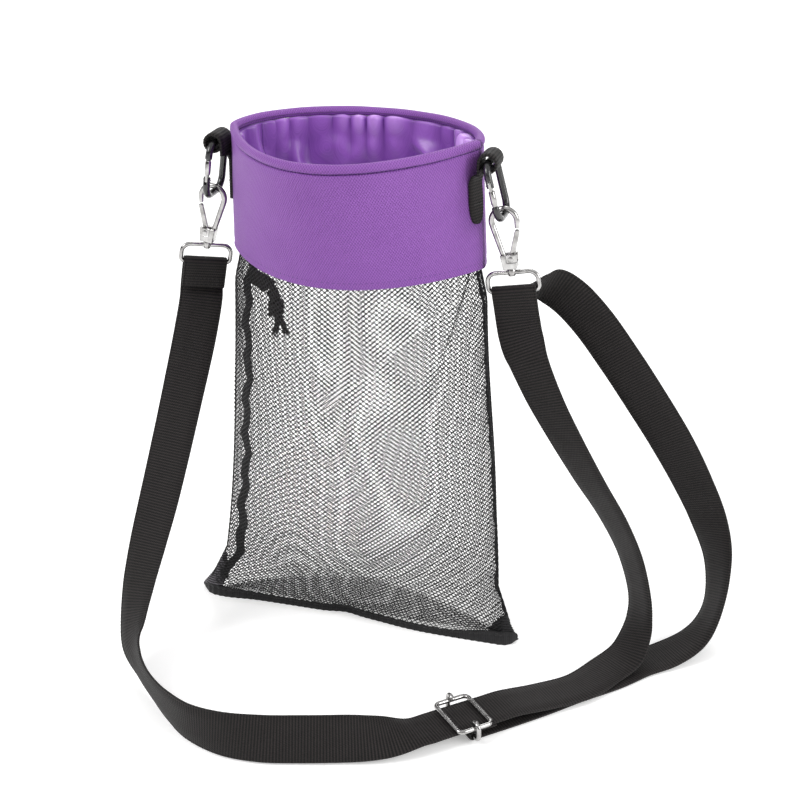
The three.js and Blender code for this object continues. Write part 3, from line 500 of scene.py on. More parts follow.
RIGHT_ROUTE = [
    (on_slider(0.052, 0.0043), SLIDER_ACROSS),
    (on_slider(0.076, 0.0031), SLIDER_ACROSS),
    ((0.158, -0.027, 0.0034), (-0.83, 0.55, 0)),
    ((0.1665, -0.015, 0.0068), (-0.75, 0.65, 0)),
    ((0.17, -0.0064, 0.013), (-0.66, 0.73, -0.05)),
    ((0.1717, 0.0018, 0.022), (-0.62, 0.77, -0.1)),
    ((0.171, 0.0061, 0.033), (-0.62, 0.76, -0.12)),
    ((0.164, 0.01, 0.0565), (-0.68, 0.7, -0.2)),
    ((0.1525, 0.0055, 0.084), (-0.75, 0.6, -0.2)),
    ((0.138, -0.001, 0.111), (-0.8, 0.5, -0.2)),
    ((0.1245, -0.007, 0.1375), (-0.85, 0.42, -0.2)),
    ((0.112, -0.01, 0.162), (-0.9, 0.33, -0.15)),
    ((0.1015, -0.0085, 0.184), (-0.95, 0.25, -0.1)),
    ((0.0962, -0.0032, 0.195), (-1, 0.1, 0)),
    ((0.0937, -0.0003, 0.203), (-1, 0, -0.1)),
]
REAR_ROUTE = [
    ((0.101, 0.0165, 0.218), (-0.75, 0.2, -0.6)),
    ((0.108, 0.0215, 0.2165), (-0.6, 0.1, -0.8)),
    ((0.117, 0.0235, 0.211), (-0.65, 0.02, -0.76)),
    ((0.1304, 0.0249, 0.1975), (-0.8, 0, -0.58)),
    ((0.1475, 0.0268, 0.1745), (-0.8, 0, -0.56)),
    ((0.1634, 0.0296, 0.1505), (-0.8, 0, -0.55)),
    ((0.1788, 0.0323, 0.126), (-0.8, 0.05, -0.55)),
    ((0.1923, 0.0375, 0.0995), (-0.78, 0.2, -0.52)),
    ((0.204, 0.0407, 0.073), (-0.75, 0.35, -0.5)),
    ((0.2115, 0.0395, 0.0475), (-0.62, 0.6, -0.45)),
    ((0.2126, 0.03, 0.0265), (-0.5, 0.75, -0.4)),
    ((0.209, 0.021, 0.015), (-0.48, 0.82, -0.25)),
    ((0.2015, 0.0105, 0.0075), (-0.55, 0.83, -0.1)),
    ((0.189, -0.001, 0.003), (-0.62, 0.78, 0)),
    ((0.1744, -0.013, 0.0014), (-0.683, 0.73, 0)),
    ((0.1594, -0.0304, REAR_LIFT), SLIDER_ACROSS),
    ((0.141, -0.0485, REAR_LIFT), SLIDER_ACROSS),
    ((0.126, -0.0645, REAR_LIFT), SLIDER_ACROSS),
    (on_slider(0.0255, REAR_LIFT), SLIDER_ACROSS),
]
CORD_ROUTE = [
    ((-0.058, 0.004, 0.229), (0.1, 0, 1)),
    ((-0.0585, -0.006, 0.223), (0.1, 0.1, 1)),
    ((-0.054, -0.015, 0.219), (0, 0.25, 1)),
    ((-0.0475, -0.0195, 0.218), (-0.35, 0.3, 0.9)),
    ((-0.0418, -0.0215, 0.215), (-0.75, 0.3, 0.5)),
    ((-0.0394, -0.022, 0.209), (-0.95, 0.2, 0.1)),
]
KNOT_AT = np.array([-0.039, -0.022, 0.2046])
TAIL_ROUTES = [
    [(-0.0386, -0.0224, 0.203), (-0.0382, -0.023, 0.196), (-0.0394, -0.0236, 0.1905)],
    [(-0.0384, -0.0216, 0.203), (-0.0358, -0.022, 0.196), (-0.0338, -0.0226, 0.1915)],
]


def mix(a, b, t):
    return a + (b - a) * t


def smooth_step(t, low=0.0, high=1.0):
    t = np.clip((t - low) / (high - low), 0, 1)
    return t * t * (3 - 2 * t)


def unit(vectors):
    return vectors / np.linalg.norm(vectors, axis=-1, keepdims=True)


def hump(t, middle, width):
    """A soft rise to 1 round a place."""
    return np.exp(-(((t - middle) / width) ** 2))


def points_of(x, y, z):
    """Points from coordinates that are single numbers, rows or grids."""
    return np.stack(np.broadcast_arrays(x, y, z), axis=-1)


def smooth_line(points, steps):
    """A smooth curve through points, rounded the same way at each of them."""
    p = np.array(points, float)
    p = np.vstack([2 * p[0] - p[1], p, 2 * p[-1] - p[-2]])
    t = np.linspace(0, 1, steps, endpoint=False)[:, None]
    spans = []
    for i in range(1, len(p) - 2):
        d0, d1, d2 = (max(np.linalg.norm(p[k + 1] - p[k]), 1e-9) ** 0.5 for k in (i - 1, i, i + 1))
        m1 = d1 * ((p[i] - p[i - 1]) / d0 - (p[i + 1] - p[i - 1]) / (d0 + d1) + (p[i + 1] - p[i]) / d1)
        m2 = d1 * ((p[i + 1] - p[i]) / d1 - (p[i + 2] - p[i]) / (d1 + d2) + (p[i + 2] - p[i + 1]) / d2)
        rise = p[i + 1] - p[i]
        spans.append((m1 + m2 - 2 * rise) * t ** 3 + (3 * rise - 2 * m1 - m2) * t ** 2 + m1 * t + p[i])
    return np.vstack(spans + [p[-2:-1]])


def lengths_along(points):
    return np.concatenate([[0], np.cumsum(np.linalg.norm(np.diff(points, axis=0), axis=1))])


def spaced_evenly(points, count, *others):
    """The line, and other lists that go with it, at evenly spaced places along it."""
    along = lengths_along(points)
    at = np.linspace(0, along[-1], count)
    even = [np.stack([np.interp(at, along, c) for c in np.asarray(a).T], axis=1) for a in (points, *others)]
    return even if others else even[0]


def arc(cx, cy, radius, start, end, steps):
    """Points of an arc between two angles in degrees."""
    turn = np.radians(np.linspace(start, end, steps + 1))
    return np.stack([cx + radius * np.cos(turn), cy + radius * np.sin(turn)], axis=1)


def rounded_outline(half_width, top, foot, top_corner, foot_corner, top_steps=12, foot_steps=12):
    """A closed outline with rounded corners, alike on its two sides."""
    w, t, f = half_width, top_corner, foot_corner
    return np.vstack([
        arc(w - t, top - t, t, 90, 0, top_steps), arc(w - f, foot + f, f, 0, -90, foot_steps),
        arc(f - w, foot + f, f, -90, -180, foot_steps), arc(t - w, top - t, t, 180, 90, top_steps),
    ])


def in_yz(points):
    y, z = np.asarray(points).T
    return points_of(0, y, z)


def in_xz(points):
    x, z = np.asarray(points).T
    return points_of(x, 0, z)


def loft(rings, joined=False, caps=True):
    """Points and faces of a body through rings of points."""
    count, sides = rings.shape[:2]
    r = np.arange(count if joined else count - 1)[:, None]
    s = np.arange(sides)[None, :]
    here, after = r * sides, (r + 1) % count * sides
    turn = (s + 1) % sides
    quads = np.stack([here + s, here + turn, after + turn, after + s], axis=-1)
    faces = quads.reshape(-1, 4).tolist()
    if caps and not joined:
        faces.append(list(range(sides - 1, -1, -1)))
        faces.append(list(range((count - 1) * sides, count * sides)))
    return rings.reshape(-1, 3), faces


def joined_bodies(bodies):
    """Several bodies as one list of points and faces."""
    points, faces, first = [], [], 0
    for body_points, body_faces in bodies:
        points.append(body_points)
        faces += [[first + i for i in face] for face in body_faces]
        first += len(body_points)
    return np.vstack(points), faces


def tangents_of(path, joined=False):
    if joined:
        return unit(np.roll(path, -1, axis=0) - np.roll(path, 1, axis=0))
    return unit(np.gradient(path, axis=0))


ROUND_END = np.radians([88, 70, 50, 30, 12])


def sweep(path, radius, sides=16, joined=False, round_ends=False):
    """A round wire along a path."""
    path = np.array(path, float)
    radius = np.array(np.broadcast_to(radius, len(path)), float)
    if round_ends:
        first, last = unit(path[0] - path[1]), unit(path[-1] - path[-2])
        heads = [path[0] + first * radius[0] * math.sin(a) for a in ROUND_END]
        feet = [path[-1] + last * radius[-1] * math.sin(a) for a in ROUND_END[::-1]]
        path = np.vstack([heads, path, feet])
        rise = np.cos(ROUND_END)
        radius = np.concatenate([radius[0] * rise, radius, radius[-1] * rise[::-1]])
    along = tangents_of(path, joined)
    side = np.array([1.0, 0, 0]) if abs(along[0][0]) < 0.9 else np.array([0, 1.0, 0])
    turn = full_circle(sides)[:, None]
    rings = []
    for point, direction, r in zip(path, along, radius):
        side = unit(side - direction * side.dot(direction))
        up = np.cross(direction, side)
        rings.append(point + r * (np.cos(turn) * side + np.sin(turn) * up))
    return loft(np.array(rings), joined)


def full_circle(count):
    return np.linspace(0, 2 * math.pi, count, endpoint=False)


def lathe(profile, sides=28):
    """A round body from (radius, height) pairs, about Z."""
    turn = full_circle(sides)
    return loft(np.array([points_of(r * np.cos(turn), r * np.sin(turn), z) for r, z in profile]))


def moved(body, place):
    points, faces = body
    return place(points), faces


def piece(name, body, material, slot, rides_on="bag", grain=None, crease=40, replaces=()):
    """A mesh with smooth faces, its material and the body that it moves with."""
    points, faces = body
    mesh = bpy.data.meshes.new(name)
    mesh.from_pydata(np.asarray(points).tolist(), [], faces)
    work = bmesh.new()
    work.from_mesh(mesh)
    bmesh.ops.recalc_face_normals(work, faces=work.faces)
    work.to_mesh(mesh)
    work.free()
    mesh.shade_smooth()
    mesh.set_sharp_from_angle(angle=math.radians(crease))
    if grain is not None:
        attribute = mesh.attributes.new("grain", "FLOAT_VECTOR", "POINT")
        attribute.data.foreach_set("vector", np.asarray(grain, np.float32).ravel())
    mesh.materials.append(material)
    obj = bpy.data.objects.new(name, mesh)
    bpy.context.scene.collection.objects.link(obj)
    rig.slot(obj, slot)
    if rides_on:
        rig.ride(obj, rides_on)
    if replaces:
        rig.replaces(obj, *replaces)
    return obj


def srgb(red, green, blue):
    """A colour as seen, as the shader's numbers."""
    values = [c / 255 for c in (red, green, blue)]
    return tuple(c / 12.92 if c <= 0.04045 else ((c + 0.055) / 1.055) ** 2.4 for c in values) + (1,)


def grey(value):
    return (value, value, value, 1)


class Nodes:
    """The shader nodes of a material or of the world, and the patterns that feed them."""

    def __init__(self, owner, shader, sockets=None):
        owner.use_nodes = True
        self.owner = owner
        self.tree = owner.node_tree
        self.shader = self.tree.nodes[shader]
        for socket, value in (sockets or {}).items():
            self.feed(self.shader, socket, value)

    def feed(self, node, socket, source):
        """Sets an input of a node to a value, or links it to another node's output."""
        if isinstance(source, bpy.types.NodeSocket):
            self.tree.links.new(source, node.inputs[socket])
        else:
            node.inputs[socket].default_value = source

    def add(self, kind, inputs=None, **settings):
        made = self.tree.nodes.new(kind)
        for key, value in settings.items():
            setattr(made, key, value)
        for socket, source in (inputs or {}).items():
            self.feed(made, socket, source)
        return made

    def coords(self, kind="Object"):
        return self.add("ShaderNodeTexCoord").outputs[kind]

    def grain(self):
        return self.add("ShaderNodeAttribute", attribute_name="grain").outputs["Vector"]

    def height_of(self, coords):
        return self.add("ShaderNodeSeparateXYZ", {"Vector": coords}).outputs["Z"]

    def bands(self, coords, pitch, turn=0, distortion=0.0):
        """Height of soft stripes of a pitch, turned in the plane of the coordinates."""
        turned = self.add("ShaderNodeMapping", {"Vector": coords, "Rotation": (0, 0, math.radians(turn))})
        wave = {"Vector": turned.outputs["Vector"], "Scale": math.pi / (10 * pitch), "Distortion": distortion}
        return self.add("ShaderNodeTexWave", wave).outputs["Fac"]

    def speckle(self, coords, size, detail=3):
        noise = {"Vector": coords, "Scale": 1 / size, "Detail": detail}
        return self.add("ShaderNodeTexNoise", noise).outputs["Fac"]

    def combined(self, operation, first, second):
        return self.add("ShaderNodeMath", {0: first, 1: second}, operation=operation).outputs[0]

    def sum_of(self, first, second):
        return self.combined("ADD", first, second)

    def scaled(self, source, share):
        return self.combined("MULTIPLY", source, share)

    def ramp(self, factor, stops):
        """A colour that follows a factor through (position, colour) stops."""
        made = self.add("ShaderNodeValToRGB", {"Fac": factor})
        elements = made.color_ramp.elements
        while len(elements) < len(stops):
            elements.new(0.5)
        for element, (position, colour) in zip(elements, stops):
            element.position = position
            element.color = colour
        return made.outputs["Color"]

    def colour(self, factor, stops, socket="Base Color"):
        self.feed(self.shader, socket, self.ramp(factor, stops))

    def bump(self, height, depth):
        made = self.add("ShaderNodeBump", {"Height": height, "Strength": 1.0, "Distance": depth})
        self.feed(self.shader, "Normal", made.outputs["Normal"])

    def seen_directly(self):
        """One for what is looked at, or seen in metal, and nothing for what only lights the object."""
        path = self.add("ShaderNodeLightPath").outputs
        mirrored = self.combined("MAXIMUM", path["Is Glossy Ray"], path["Is Transmission Ray"])
        return self.combined("MAXIMUM", path["Is Camera Ray"], mirrored)


def new_look(name, sockets):
    return Nodes(bpy.data.materials.new(name), "Principled BSDF", sockets)


def collar_cloth():
    """Coated cloth with a fine grain in two slanting directions."""
    look = new_look("collar_cloth", {
        "Roughness": 0.55, "Sheen Weight": 0.12, "Sheen Roughness": 0.4, "Specular IOR Level": 0.28,
    })
    grain = look.grain()
    weave = look.sum_of(*(look.bands(grain, pitch=1.25 * MM, turn=slant) for slant in (32, -38)))
    cloud = look.speckle(grain, size=30 * MM)
    shade = look.sum_of(look.scaled(weave, share=0.38), look.scaled(cloud, share=0.3))
    look.colour(shade, [(0.2, srgb(122, 70, 153)), (0.75, srgb(156, 99, 187))])
    fibre = look.speckle(grain, size=0.4 * MM, detail=1)
    look.bump(look.sum_of(weave, look.scaled(fibre, share=0.5)), depth=0.17 * MM)
    return look.owner


def satin():
    """Thin smooth satin with a fine cross thread, with painted highlight on the crests of its folds and painted shade
    in their hollows.
    """
    look = new_look("satin", {
        "Roughness": 0.34, "Sheen Weight": 0.35, "Sheen Roughness": 0.3, "Specular IOR Level": 0.55,
    })
    grain = look.grain()
    cloud = look.speckle(grain, size=14 * MM)
    # Painted light: the grain's height is painted highlight on fold crests and painted shade in the hollows, with a
    # random cloud of tone added.
    painted_crest_light = look.sum_of(look.height_of(grain), look.scaled(cloud, share=0.3))
    # The dark stop is painted shade in the folds, and the light stop is painted highlight on the crests.
    look.colour(painted_crest_light, [(0.1, srgb(114, 61, 152)), (0.5, srgb(160, 102, 198)), (0.95, srgb(206, 152, 238))])
    threads = look.sum_of(look.bands(grain, pitch=0.5 * MM), look.bands(grain, pitch=0.7 * MM, turn=90))
    look.bump(threads, depth=0.015 * MM)
    return look.owner


def thread(name, dark, light, sheen=0.3):
    """Spun sewing thread with a visible twist."""
    look = new_look(name, {"Roughness": 0.6, "Sheen Weight": sheen, "Specular IOR Level": 0.3})
    coords = look.coords()
    look.colour(look.speckle(coords, size=1.5 * MM), [(0.35, dark), (0.65, light)])
    look.bump(look.bands(coords, pitch=0.35 * MM, turn=40), depth=0.04 * MM)
    return look.owner


def black_cloth(name, dark, light, pitch, rib_share):
    """Woven black cloth, ribbed across, with fine threads and a little dust in the light tone."""
    look = new_look(name, {
        "Roughness": 0.62, "Sheen Weight": 0.08, "Sheen Roughness": 0.45, "Specular IOR Level": 0.25,
    })
    grain = look.grain()
    ribs = look.bands(grain, pitch, turn=90)
    yarn = look.bands(grain, pitch=0.62 * pitch, turn=152, distortion=1.5)
    dust = look.speckle(grain, size=9 * MM, detail=6)
    shade = look.sum_of(look.scaled(ribs, rib_share), look.scaled(dust, share=0.9 - rib_share))
    look.colour(shade, [(0.2, dark), (0.8, light)])
    look.bump(look.sum_of(look.scaled(ribs, share=0.5), yarn), depth=0.09 * MM)
    return look.owner


def black_enamel():
    """Gloss black enamel with a faint unevenness and rubbed spots."""
    look = new_look("black_enamel", {"Coat Weight": 0.7, "Coat Roughness": 0.08, "Specular IOR Level": 0.5})
    coords = look.coords()
    tone = look.speckle(coords, size=5 * MM, detail=5)
    look.colour(tone, [(0.4, srgb(20, 20, 21)), (0.75, srgb(34, 34, 36))])
    look.colour(look.speckle(coords, size=2 * MM), [(0.3, grey(0.2)), (0.8, grey(0.38))], "Roughness")
    look.bump(look.speckle(coords, size=1.2 * MM), depth=0.03 * MM)
    return look.owner


def nickel():
    """Polished nickel with faint wiping marks."""
    look = new_look("nickel", {"Metallic": 1.0})
    coords = look.coords()
    tone = look.speckle(coords, size=4 * MM, detail=4)
    look.colour(tone, [(0.3, srgb(150, 148, 147)), (0.7, srgb(200, 199, 198))])
    wiped = look.speckle(coords, size=1.5 * MM, detail=5)
    look.colour(wiped, [(0.3, grey(0.09)), (0.8, grey(0.22))], "Roughness")
    look.bump(look.speckle(coords, size=0.9 * MM, detail=2), depth=0.015 * MM)
    return look.owner


def pale_floor():
    """A white floor that looks a little brighter than the light that falls on it."""
    look = new_look("pale_floor", {
        "Roughness": 0.9, "Specular IOR Level": 0.1, "Emission Color": (1, 0.995, 0.985, 1),
    })
    look.colour(look.speckle(look.coords(), size=0.4), [(0.3, grey(0.93)), (0.7, grey(0.95))])
    look.feed(look.shader, "Emission Strength", look.scaled(look.seen_directly(), FLOOR_GLOW))
    return look.owner


CLOTH = collar_cloth()
SATIN = satin()
PURPLE_THREAD = thread("purple_thread", srgb(84, 44, 116), srgb(118, 70, 156))
BLACK_THREAD = thread("black_thread", srgb(24, 22, 23), srgb(46, 43, 43))
NET_THREAD = thread("net_thread", srgb(14, 13, 15), srgb(27, 25, 28), sheen=0.05)
WEBBING = black_cloth("webbing", srgb(4, 4, 4), srgb(43, 38, 37), RIB_PITCH, rib_share=0.7)
TAPE = black_cloth("tape", srgb(20, 20, 21), srgb(44, 43, 45), 1.1 * MM, rib_share=0.35)
GATHERED_NET = black_cloth("gathered_net", srgb(12, 12, 13), srgb(124, 120, 126), EAR_RIB, rib_share=0.75)
ENAMEL = black_enamel()
NICKEL = nickel()


def oval_at(z):
    """Half width, front depth, back depth and middle (x, y) of the collar's outside at one of its ends."""
    row = [v.co for v in frame["nodes"]["collar_band"].data.vertices if abs(v.co.z - z) < 0.1 * MM]
    left, right = min(row, key=lambda p: p.x), max(row, key=lambda p: p.x)
    near, far = min(p.y for p in row), max(p.y for p in row)
    return np.array([(right.x - left.x) / 2, right.y - near, far - right.y, (right.x + left.x) / 2, right.y])


FOOT_OVAL = oval_at(COLLAR_FOOT)
TOP_OVAL = oval_at(COLLAR_TOP)


def collar_oval(z):
    """The same sizes of the collar's outside at any height."""
    share = (np.asarray(z, float) - COLLAR_FOOT) / (COLLAR_TOP - COLLAR_FOOT)
    return [mix(low, high, share) for low, high in zip(FOOT_OVAL, TOP_OVAL)]


def on_oval(turn, z, inset):
    """A point inside the collar's outline, by its angle, height and distance from the outside.

    The front is hollowed towards the side seams."""
    a, front, back, x, y = collar_oval(z)
    s = np.sin(turn)
    reach = np.where(s < 0, (inset - front) * np.abs(s) ** FRONT_HOLLOW, (back - inset) * s)
    return points_of(x + (a - inset) * np.cos(turn), y + reach, z)


def collar_end(z, side):
    """How far the collar reaches to one side at a height."""
    a, _, _, x, _ = collar_oval(z)
    return a + side * x


# Angles in steps of a quarter of a degree, and the way round the collar's foot to each
TURNS = np.linspace(0, 2 * math.pi, 4 * 360 + 1)
WAY_ROUND = lengths_along(on_oval(TURNS, COLLAR_FOOT, 0))


def turns_round(count):
    """Angles at evenly spaced places round the collar."""
    return np.interp(np.linspace(0, WAY_ROUND[-1], count, endpoint=False), WAY_ROUND, TURNS)


def oval_grain(turn, heights):
    """Cloth coordinates on the collar: the way round and the height."""
    return points_of(np.interp(turn, TURNS, WAY_ROUND), heights, 0.0)


def softness(turn, z):
    """Slight unevenness of the stiffened cloth."""
    slow = 0.35 * np.sin(3 * turn + 40 * z) + 0.25 * np.sin(5 * turn - 25 * z + 1)
    return MM * slow * smooth_step(z, COLLAR_FOOT - 2 * MM, COLLAR_FOOT + 30 * MM)


def make_collar():
    """The band, a sheet with rounded edges and the line of its hem."""
    turn = turns_round(COLLAR_COLUMNS)[None, :]
    half = COLLAR_THICKNESS / 2
    low, high = COLLAR_FOOT + half, COLLAR_TOP - half
    bend = np.radians([30, 60, 90])
    over, inwards = half * np.sin(bend), half - half * np.cos(bend)
    heights = np.concatenate([low - over[::-1], np.linspace(low, high, COLLAR_ROWS), high + over])
    insets = np.concatenate([inwards[::-1], np.zeros(COLLAR_ROWS), inwards])
    inset = np.concatenate([insets, COLLAR_THICKNESS - insets[-2:0:-1]])[:, None]
    z = np.concatenate([heights, heights[-2:0:-1]])[:, None]
    hem_fold = HEM_FOLD * hump(z, COLLAR_FOOT + HEM_HEIGHT, HEM_FOLD_WIDTH)
    points = on_oval(turn, z, inset + (hem_fold - softness(turn, z)) * (inset < half))
    body = loft(points.transpose(1, 0, 2), joined=True)
    grain = oval_grain(turn, z).transpose(1, 0, 2)
    piece("collar", body, CLOTH, "collar_cloth", grain=grain, replaces=["collar_band"])


def make_piping():
    turn = turns_round(COLLAR_COLUMNS)[:, None]
    around = full_circle(20)[None, :]
    roll = PIPING_RADIUS * (1 + 0.03 * np.sin(11 * turn) * np.sin(4 * turn + 1))
    inset = PIPING_INSET + roll * np.cos(around)
    z = RIM_TOP - PIPING_RADIUS + roll * np.sin(around)
    body = loft(on_oval(turn, z, inset), joined=True)
    grain = oval_grain(turn, PIPING_RADIUS * around)
    piece("piping", body, CLOTH, "collar_cloth", grain=grain, replaces=["rim_piping"])


def dip(ends, beside, middle=0):
    """Depths along one stitch, which comes up, lies along the cloth and goes down."""
    return np.array([ends, beside, middle, beside, ends])


def stitches(starts, length, place, radius=STITCH_RADIUS):
    """A row of stitches of one length. Place gives a stitch's points from their places along the row."""
    rows = [place(start + np.linspace(0, length, 5)) for start in starts]
    return [sweep(row, radius, STITCH_SIDES, round_ends=True) for row in rows]


def stitch_round(name, z, inset, count, share, radius, sink):
    """Stitches round the collar at a height, each a share of the pitch long."""
    pitch = WAY_ROUND[-1] / count

    def place(way):
        return on_oval(np.interp(way, WAY_ROUND, TURNS), z, inset + sink * dip(1, 0.2))

    body = joined_bodies(stitches(pitch * np.arange(count), share * pitch, place, radius))
    piece(name, body, PURPLE_THREAD, "collar_cloth")


def make_collar_stitches():
    stitch_round(
        "hem_stitches", COLLAR_FOOT + HEM_HEIGHT,
        inset=0.22 * MM, count=132, share=0.62, radius=STITCH_RADIUS, sink=0.4 * MM,
    )
    stitch_round(
        "rim_stitches", COLLAR_TOP + 0.25 * MM,
        inset=0.75 * MM, count=170, share=0.66, radius=0.24 * MM, sink=0.5 * MM,
    )


def sleeve_folds(turn, share):
    """How far the sleeve swells inwards in its long folds, from 0 to 1."""
    bent = turn + 0.13 * np.sin(4 * turn + 7 * share) + 0.06 * np.sin(9 * turn - 11 * share + 1)
    drift = 1.3 * np.sin(2 * turn + 0.6) + share * (1.9 + 1.5 * np.sin(3 * turn))
    swell = 0.5 + 0.5 * np.cos(SLEEVE_FOLDS * bent + drift)
    slack = 0.62 + 0.38 * np.sin(7 * turn - 8 * share + 2)
    return swell ** 1.6 * slack * (0.08 + 0.92 * share ** 0.7)


def sleeve_gathers(turn):
    """Size of the small gathers under the rim, from 0 to 1; the cloth lies calm beside its seam."""
    phase = GATHERS * turn + 2.2 * np.sin(3 * turn) + 1.5 * np.sin(7 * turn + 0.6)
    calm = 1 - 0.92 * np.exp(-((turn - SLEEVE_SEAM_TURN - 0.08) / 0.3) ** 4)
    return calm * np.abs(np.sin(phase / 2)) ** 0.9 * (0.66 + 0.34 * np.sin(5 * turn))


def tunnel(turn, share):
    """The puffed place beside the right tip where the drawcord's tunnel opens, from 0 to 1."""
    place = hump(turn, TUNNEL_TURN, 0.15) * hump(share, 0.14, 0.2)
    return place * smooth_step(share, 0.005, 0.09)


def puffed(share):
    """How much of the gathers is left at a share of the way down."""
    return hump(share, 0.06, 0.055) + 0.5 * hump(share, 0.2, 0.15)


def sleeve_inset(turn, share):
    """Distance of the sleeve from the collar's outside: deep folds below, small gathers at the top."""
    creases = CREASE_DEPTH * np.sin(17 * turn + 16 * share + 2 * np.sin(4 * turn))
    crown = mix(SLEEVE_TOP_INSET, SLEEVE_FOOT_INSET, share) + CROWN_SWELL * smooth_step(share, 0, 0.05)
    gathers = GATHER_DEPTH * sleeve_gathers(turn) * puffed(share) * (1 - tunnel(turn, share))
    folds = SLEEVE_FOLD_DEPTH * sleeve_folds(turn, share) + creases * smooth_step(share, 0.03, 0.25)
    return crown + folds + gathers + TUNNEL_BULGE * tunnel(turn, share)


def sleeve_height(turn, share):
    """Height of the sleeve's cloth, which rolls up over its seam at each gather."""
    behind = mix(0.4, 1, smooth_step(np.sin(turn), -0.1, 0.3))
    rise = behind * (ROLL_RISE + GATHER_RISE * sleeve_gathers(turn))
    return mix(SLEEVE_TOP, SLEEVE_FOOT, share) + rise * hump(share, 0.05, 0.05)


def on_sleeve(turn, share, out):
    """A point of the sleeve, by how far it lies inwards from the middle of the cloth."""
    return on_oval(turn, sleeve_height(turn, share), sleeve_inset(turn, share) + out)


def make_sleeve():
    turn = turns_round(SLEEVE_COLUMNS)[:, None]
    share = np.linspace(0, 1, SLEEVE_ROWS)[None, :] ** 1.8
    outer, inner = (on_sleeve(turn, share, out) for out in (-SLEEVE_THICKNESS / 2, SLEEVE_THICKNESS / 2))
    body = loft(np.concatenate([outer, inner[:, ::-1]], axis=1), joined=True)
    grain = oval_grain(turn, sleeve_height(turn, share))
    # Painted light: the grain's height makes fold crests, gather crests and the puffed tunnel lighter, as painted
    # highlight, and the hollows darker, as painted shade.
    painted_crest_light = 0.8 * sleeve_folds(turn, share) + 0.75 * sleeve_gathers(turn) * puffed(share)
    grain[..., 2] = painted_crest_light + 0.9 * tunnel(turn, share)
    grain = np.concatenate([grain, grain[:, ::-1]], axis=1)
    sleeve = piece("sleeve", body, SATIN, "satin", grain=grain, replaces=["closure_sleeve"])
    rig.sheet(sleeve, flat=(0.45, 0.062), held="gathered", rests_on=["collar_band"])


def make_sleeve_seam():
    """The sleeve's upright seam."""
    line = on_sleeve(SLEEVE_SEAM_TURN, np.linspace(0.04, 0.8, SLEEVE_ROWS), SLEEVE_THICKNESS / 2)
    piece("sleeve_seam", sweep(line, SLEEVE_SEAM_RADIUS, sides=8), PURPLE_THREAD, "satin")


def make_eyelet():
    """The sewn eyelet that the drawcord's tunnel opens to."""
    middle = on_sleeve(EYELET_TURN, EYELET_DOWN, SLEEVE_THICKNESS / 2 + 0.1 * MM)
    tangent = np.array([-math.sin(EYELET_TURN), math.cos(EYELET_TURN), 0])
    around = np.array([math.cos(a) * tangent + math.sin(a) * np.array([0, 0, 1]) for a in full_circle(24)])
    ring = sweep(middle + EYELET_RADIUS * around, EYELET_WIRE, sides=10, joined=True)
    plug = loft(np.array([middle + reach * MM * around for reach in (1.1, 0.6, 0.1)]))
    piece("sleeve_eyelet", joined_bodies([ring, plug]), PURPLE_THREAD, "satin")


def pouch(under):
    """Sizes of the pouch at a share of the way from the collar's foot down to the floor."""
    below = np.maximum(under, 0)
    width, front, back, x, y = collar_oval(COLLAR_FOOT * (1 - np.minimum(under, 0)))
    tucked = NET_TUCK * (1 - smooth_step(below, 0, NET_SWELL_SHARE))
    ear = SEAM_HALF_LENGTH - CORNER_TUCK - FOOT_OVAL[0] - SIDE_FLARE
    ear_share = np.maximum(below - EAR_START, 0) / (1 - EAR_START)
    return {
        "half_width": width - tucked + SIDE_FLARE * below ** 1.4 + ear * ear_share,
        "middle": x + NET_LEAN * np.sin(math.pi * below ** 1.8),
        "seam_y": mix(y, SEAM_Y, smooth_step(below)),
        "front": (front - NET_TUCK) * (1 - below ** 2.5) + NET_BELLY * np.sin(math.pi * below) * below,
        "back": mix(back - NET_TUCK, BACK_DEPTH_AT_FLOOR, below) + BACK_SWELL * np.sin(math.pi * below),
        "front_hollow": mix(FRONT_HOLLOW, FOOT_HOLLOW, below ** 2),
        "back_hollow": mix(1, FOOT_HOLLOW, below ** 2),
    }


def seam_shift(x):
    """How far the bottom seam winds to the back along its length, as it lies on the floor."""
    along = x / MM
    winding = -3.6 * np.tanh((along - 22) / 20) + 2.3 * hump(along, -7, 9) - 2 * hump(along, -85, 14)
    turned = np.maximum(np.abs(x) / SEAM_HALF_LENGTH - 0.9, 0) / 0.1
    return MM * (winding + 5 * turned ** 2)


def near_floor(under):
    """How far the net follows the bottom seam's winding, from 0 at the collar to 1 on the floor."""
    return np.maximum(under, 0) ** 10


def net_row(side, under, z, reach=1.0):
    """A row of points of a net panel from the left seam to the right one; side is -1 for the front."""
    size = pouch(under)
    face = "front" if side < 0 else "back"
    turn = np.linspace(NET_END_ANGLE, math.pi - NET_END_ANGLE, NET_COLUMNS)
    x = size["middle"] - (size["half_width"] - NET_SIDE_GAP) * np.cos(turn)
    bulge = np.sin(turn) ** size[f"{face}_hollow"]
    y = size["seam_y"] + side * (NET_EDGE + (size[face] - NET_EDGE) * reach * bulge)
    return points_of(x, y + seam_shift(x) * near_floor(under), z)


def under_at(z):
    return (COLLAR_FOOT - z) / COLLAR_FOOT


def panel_surface(rows):
    """A panel with its points evenly spaced across, and then evenly spaced down."""
    columns = len(rows[0])
    fine = smooth_line(np.array(rows).reshape(len(rows), -1), 6).reshape(-1, columns, 3)
    fine = np.array([spaced_evenly(row, columns) for row in fine])
    down = np.mean([lengths_along(fine[:, c]) for c in range(columns)], axis=0)
    at = np.linspace(0, down[-1], len(fine))
    even = [np.interp(at, down, fine[:, c, k]) for c in range(columns) for k in range(3)]
    return np.array(even).T.reshape(len(fine), columns, 3), down[-1]


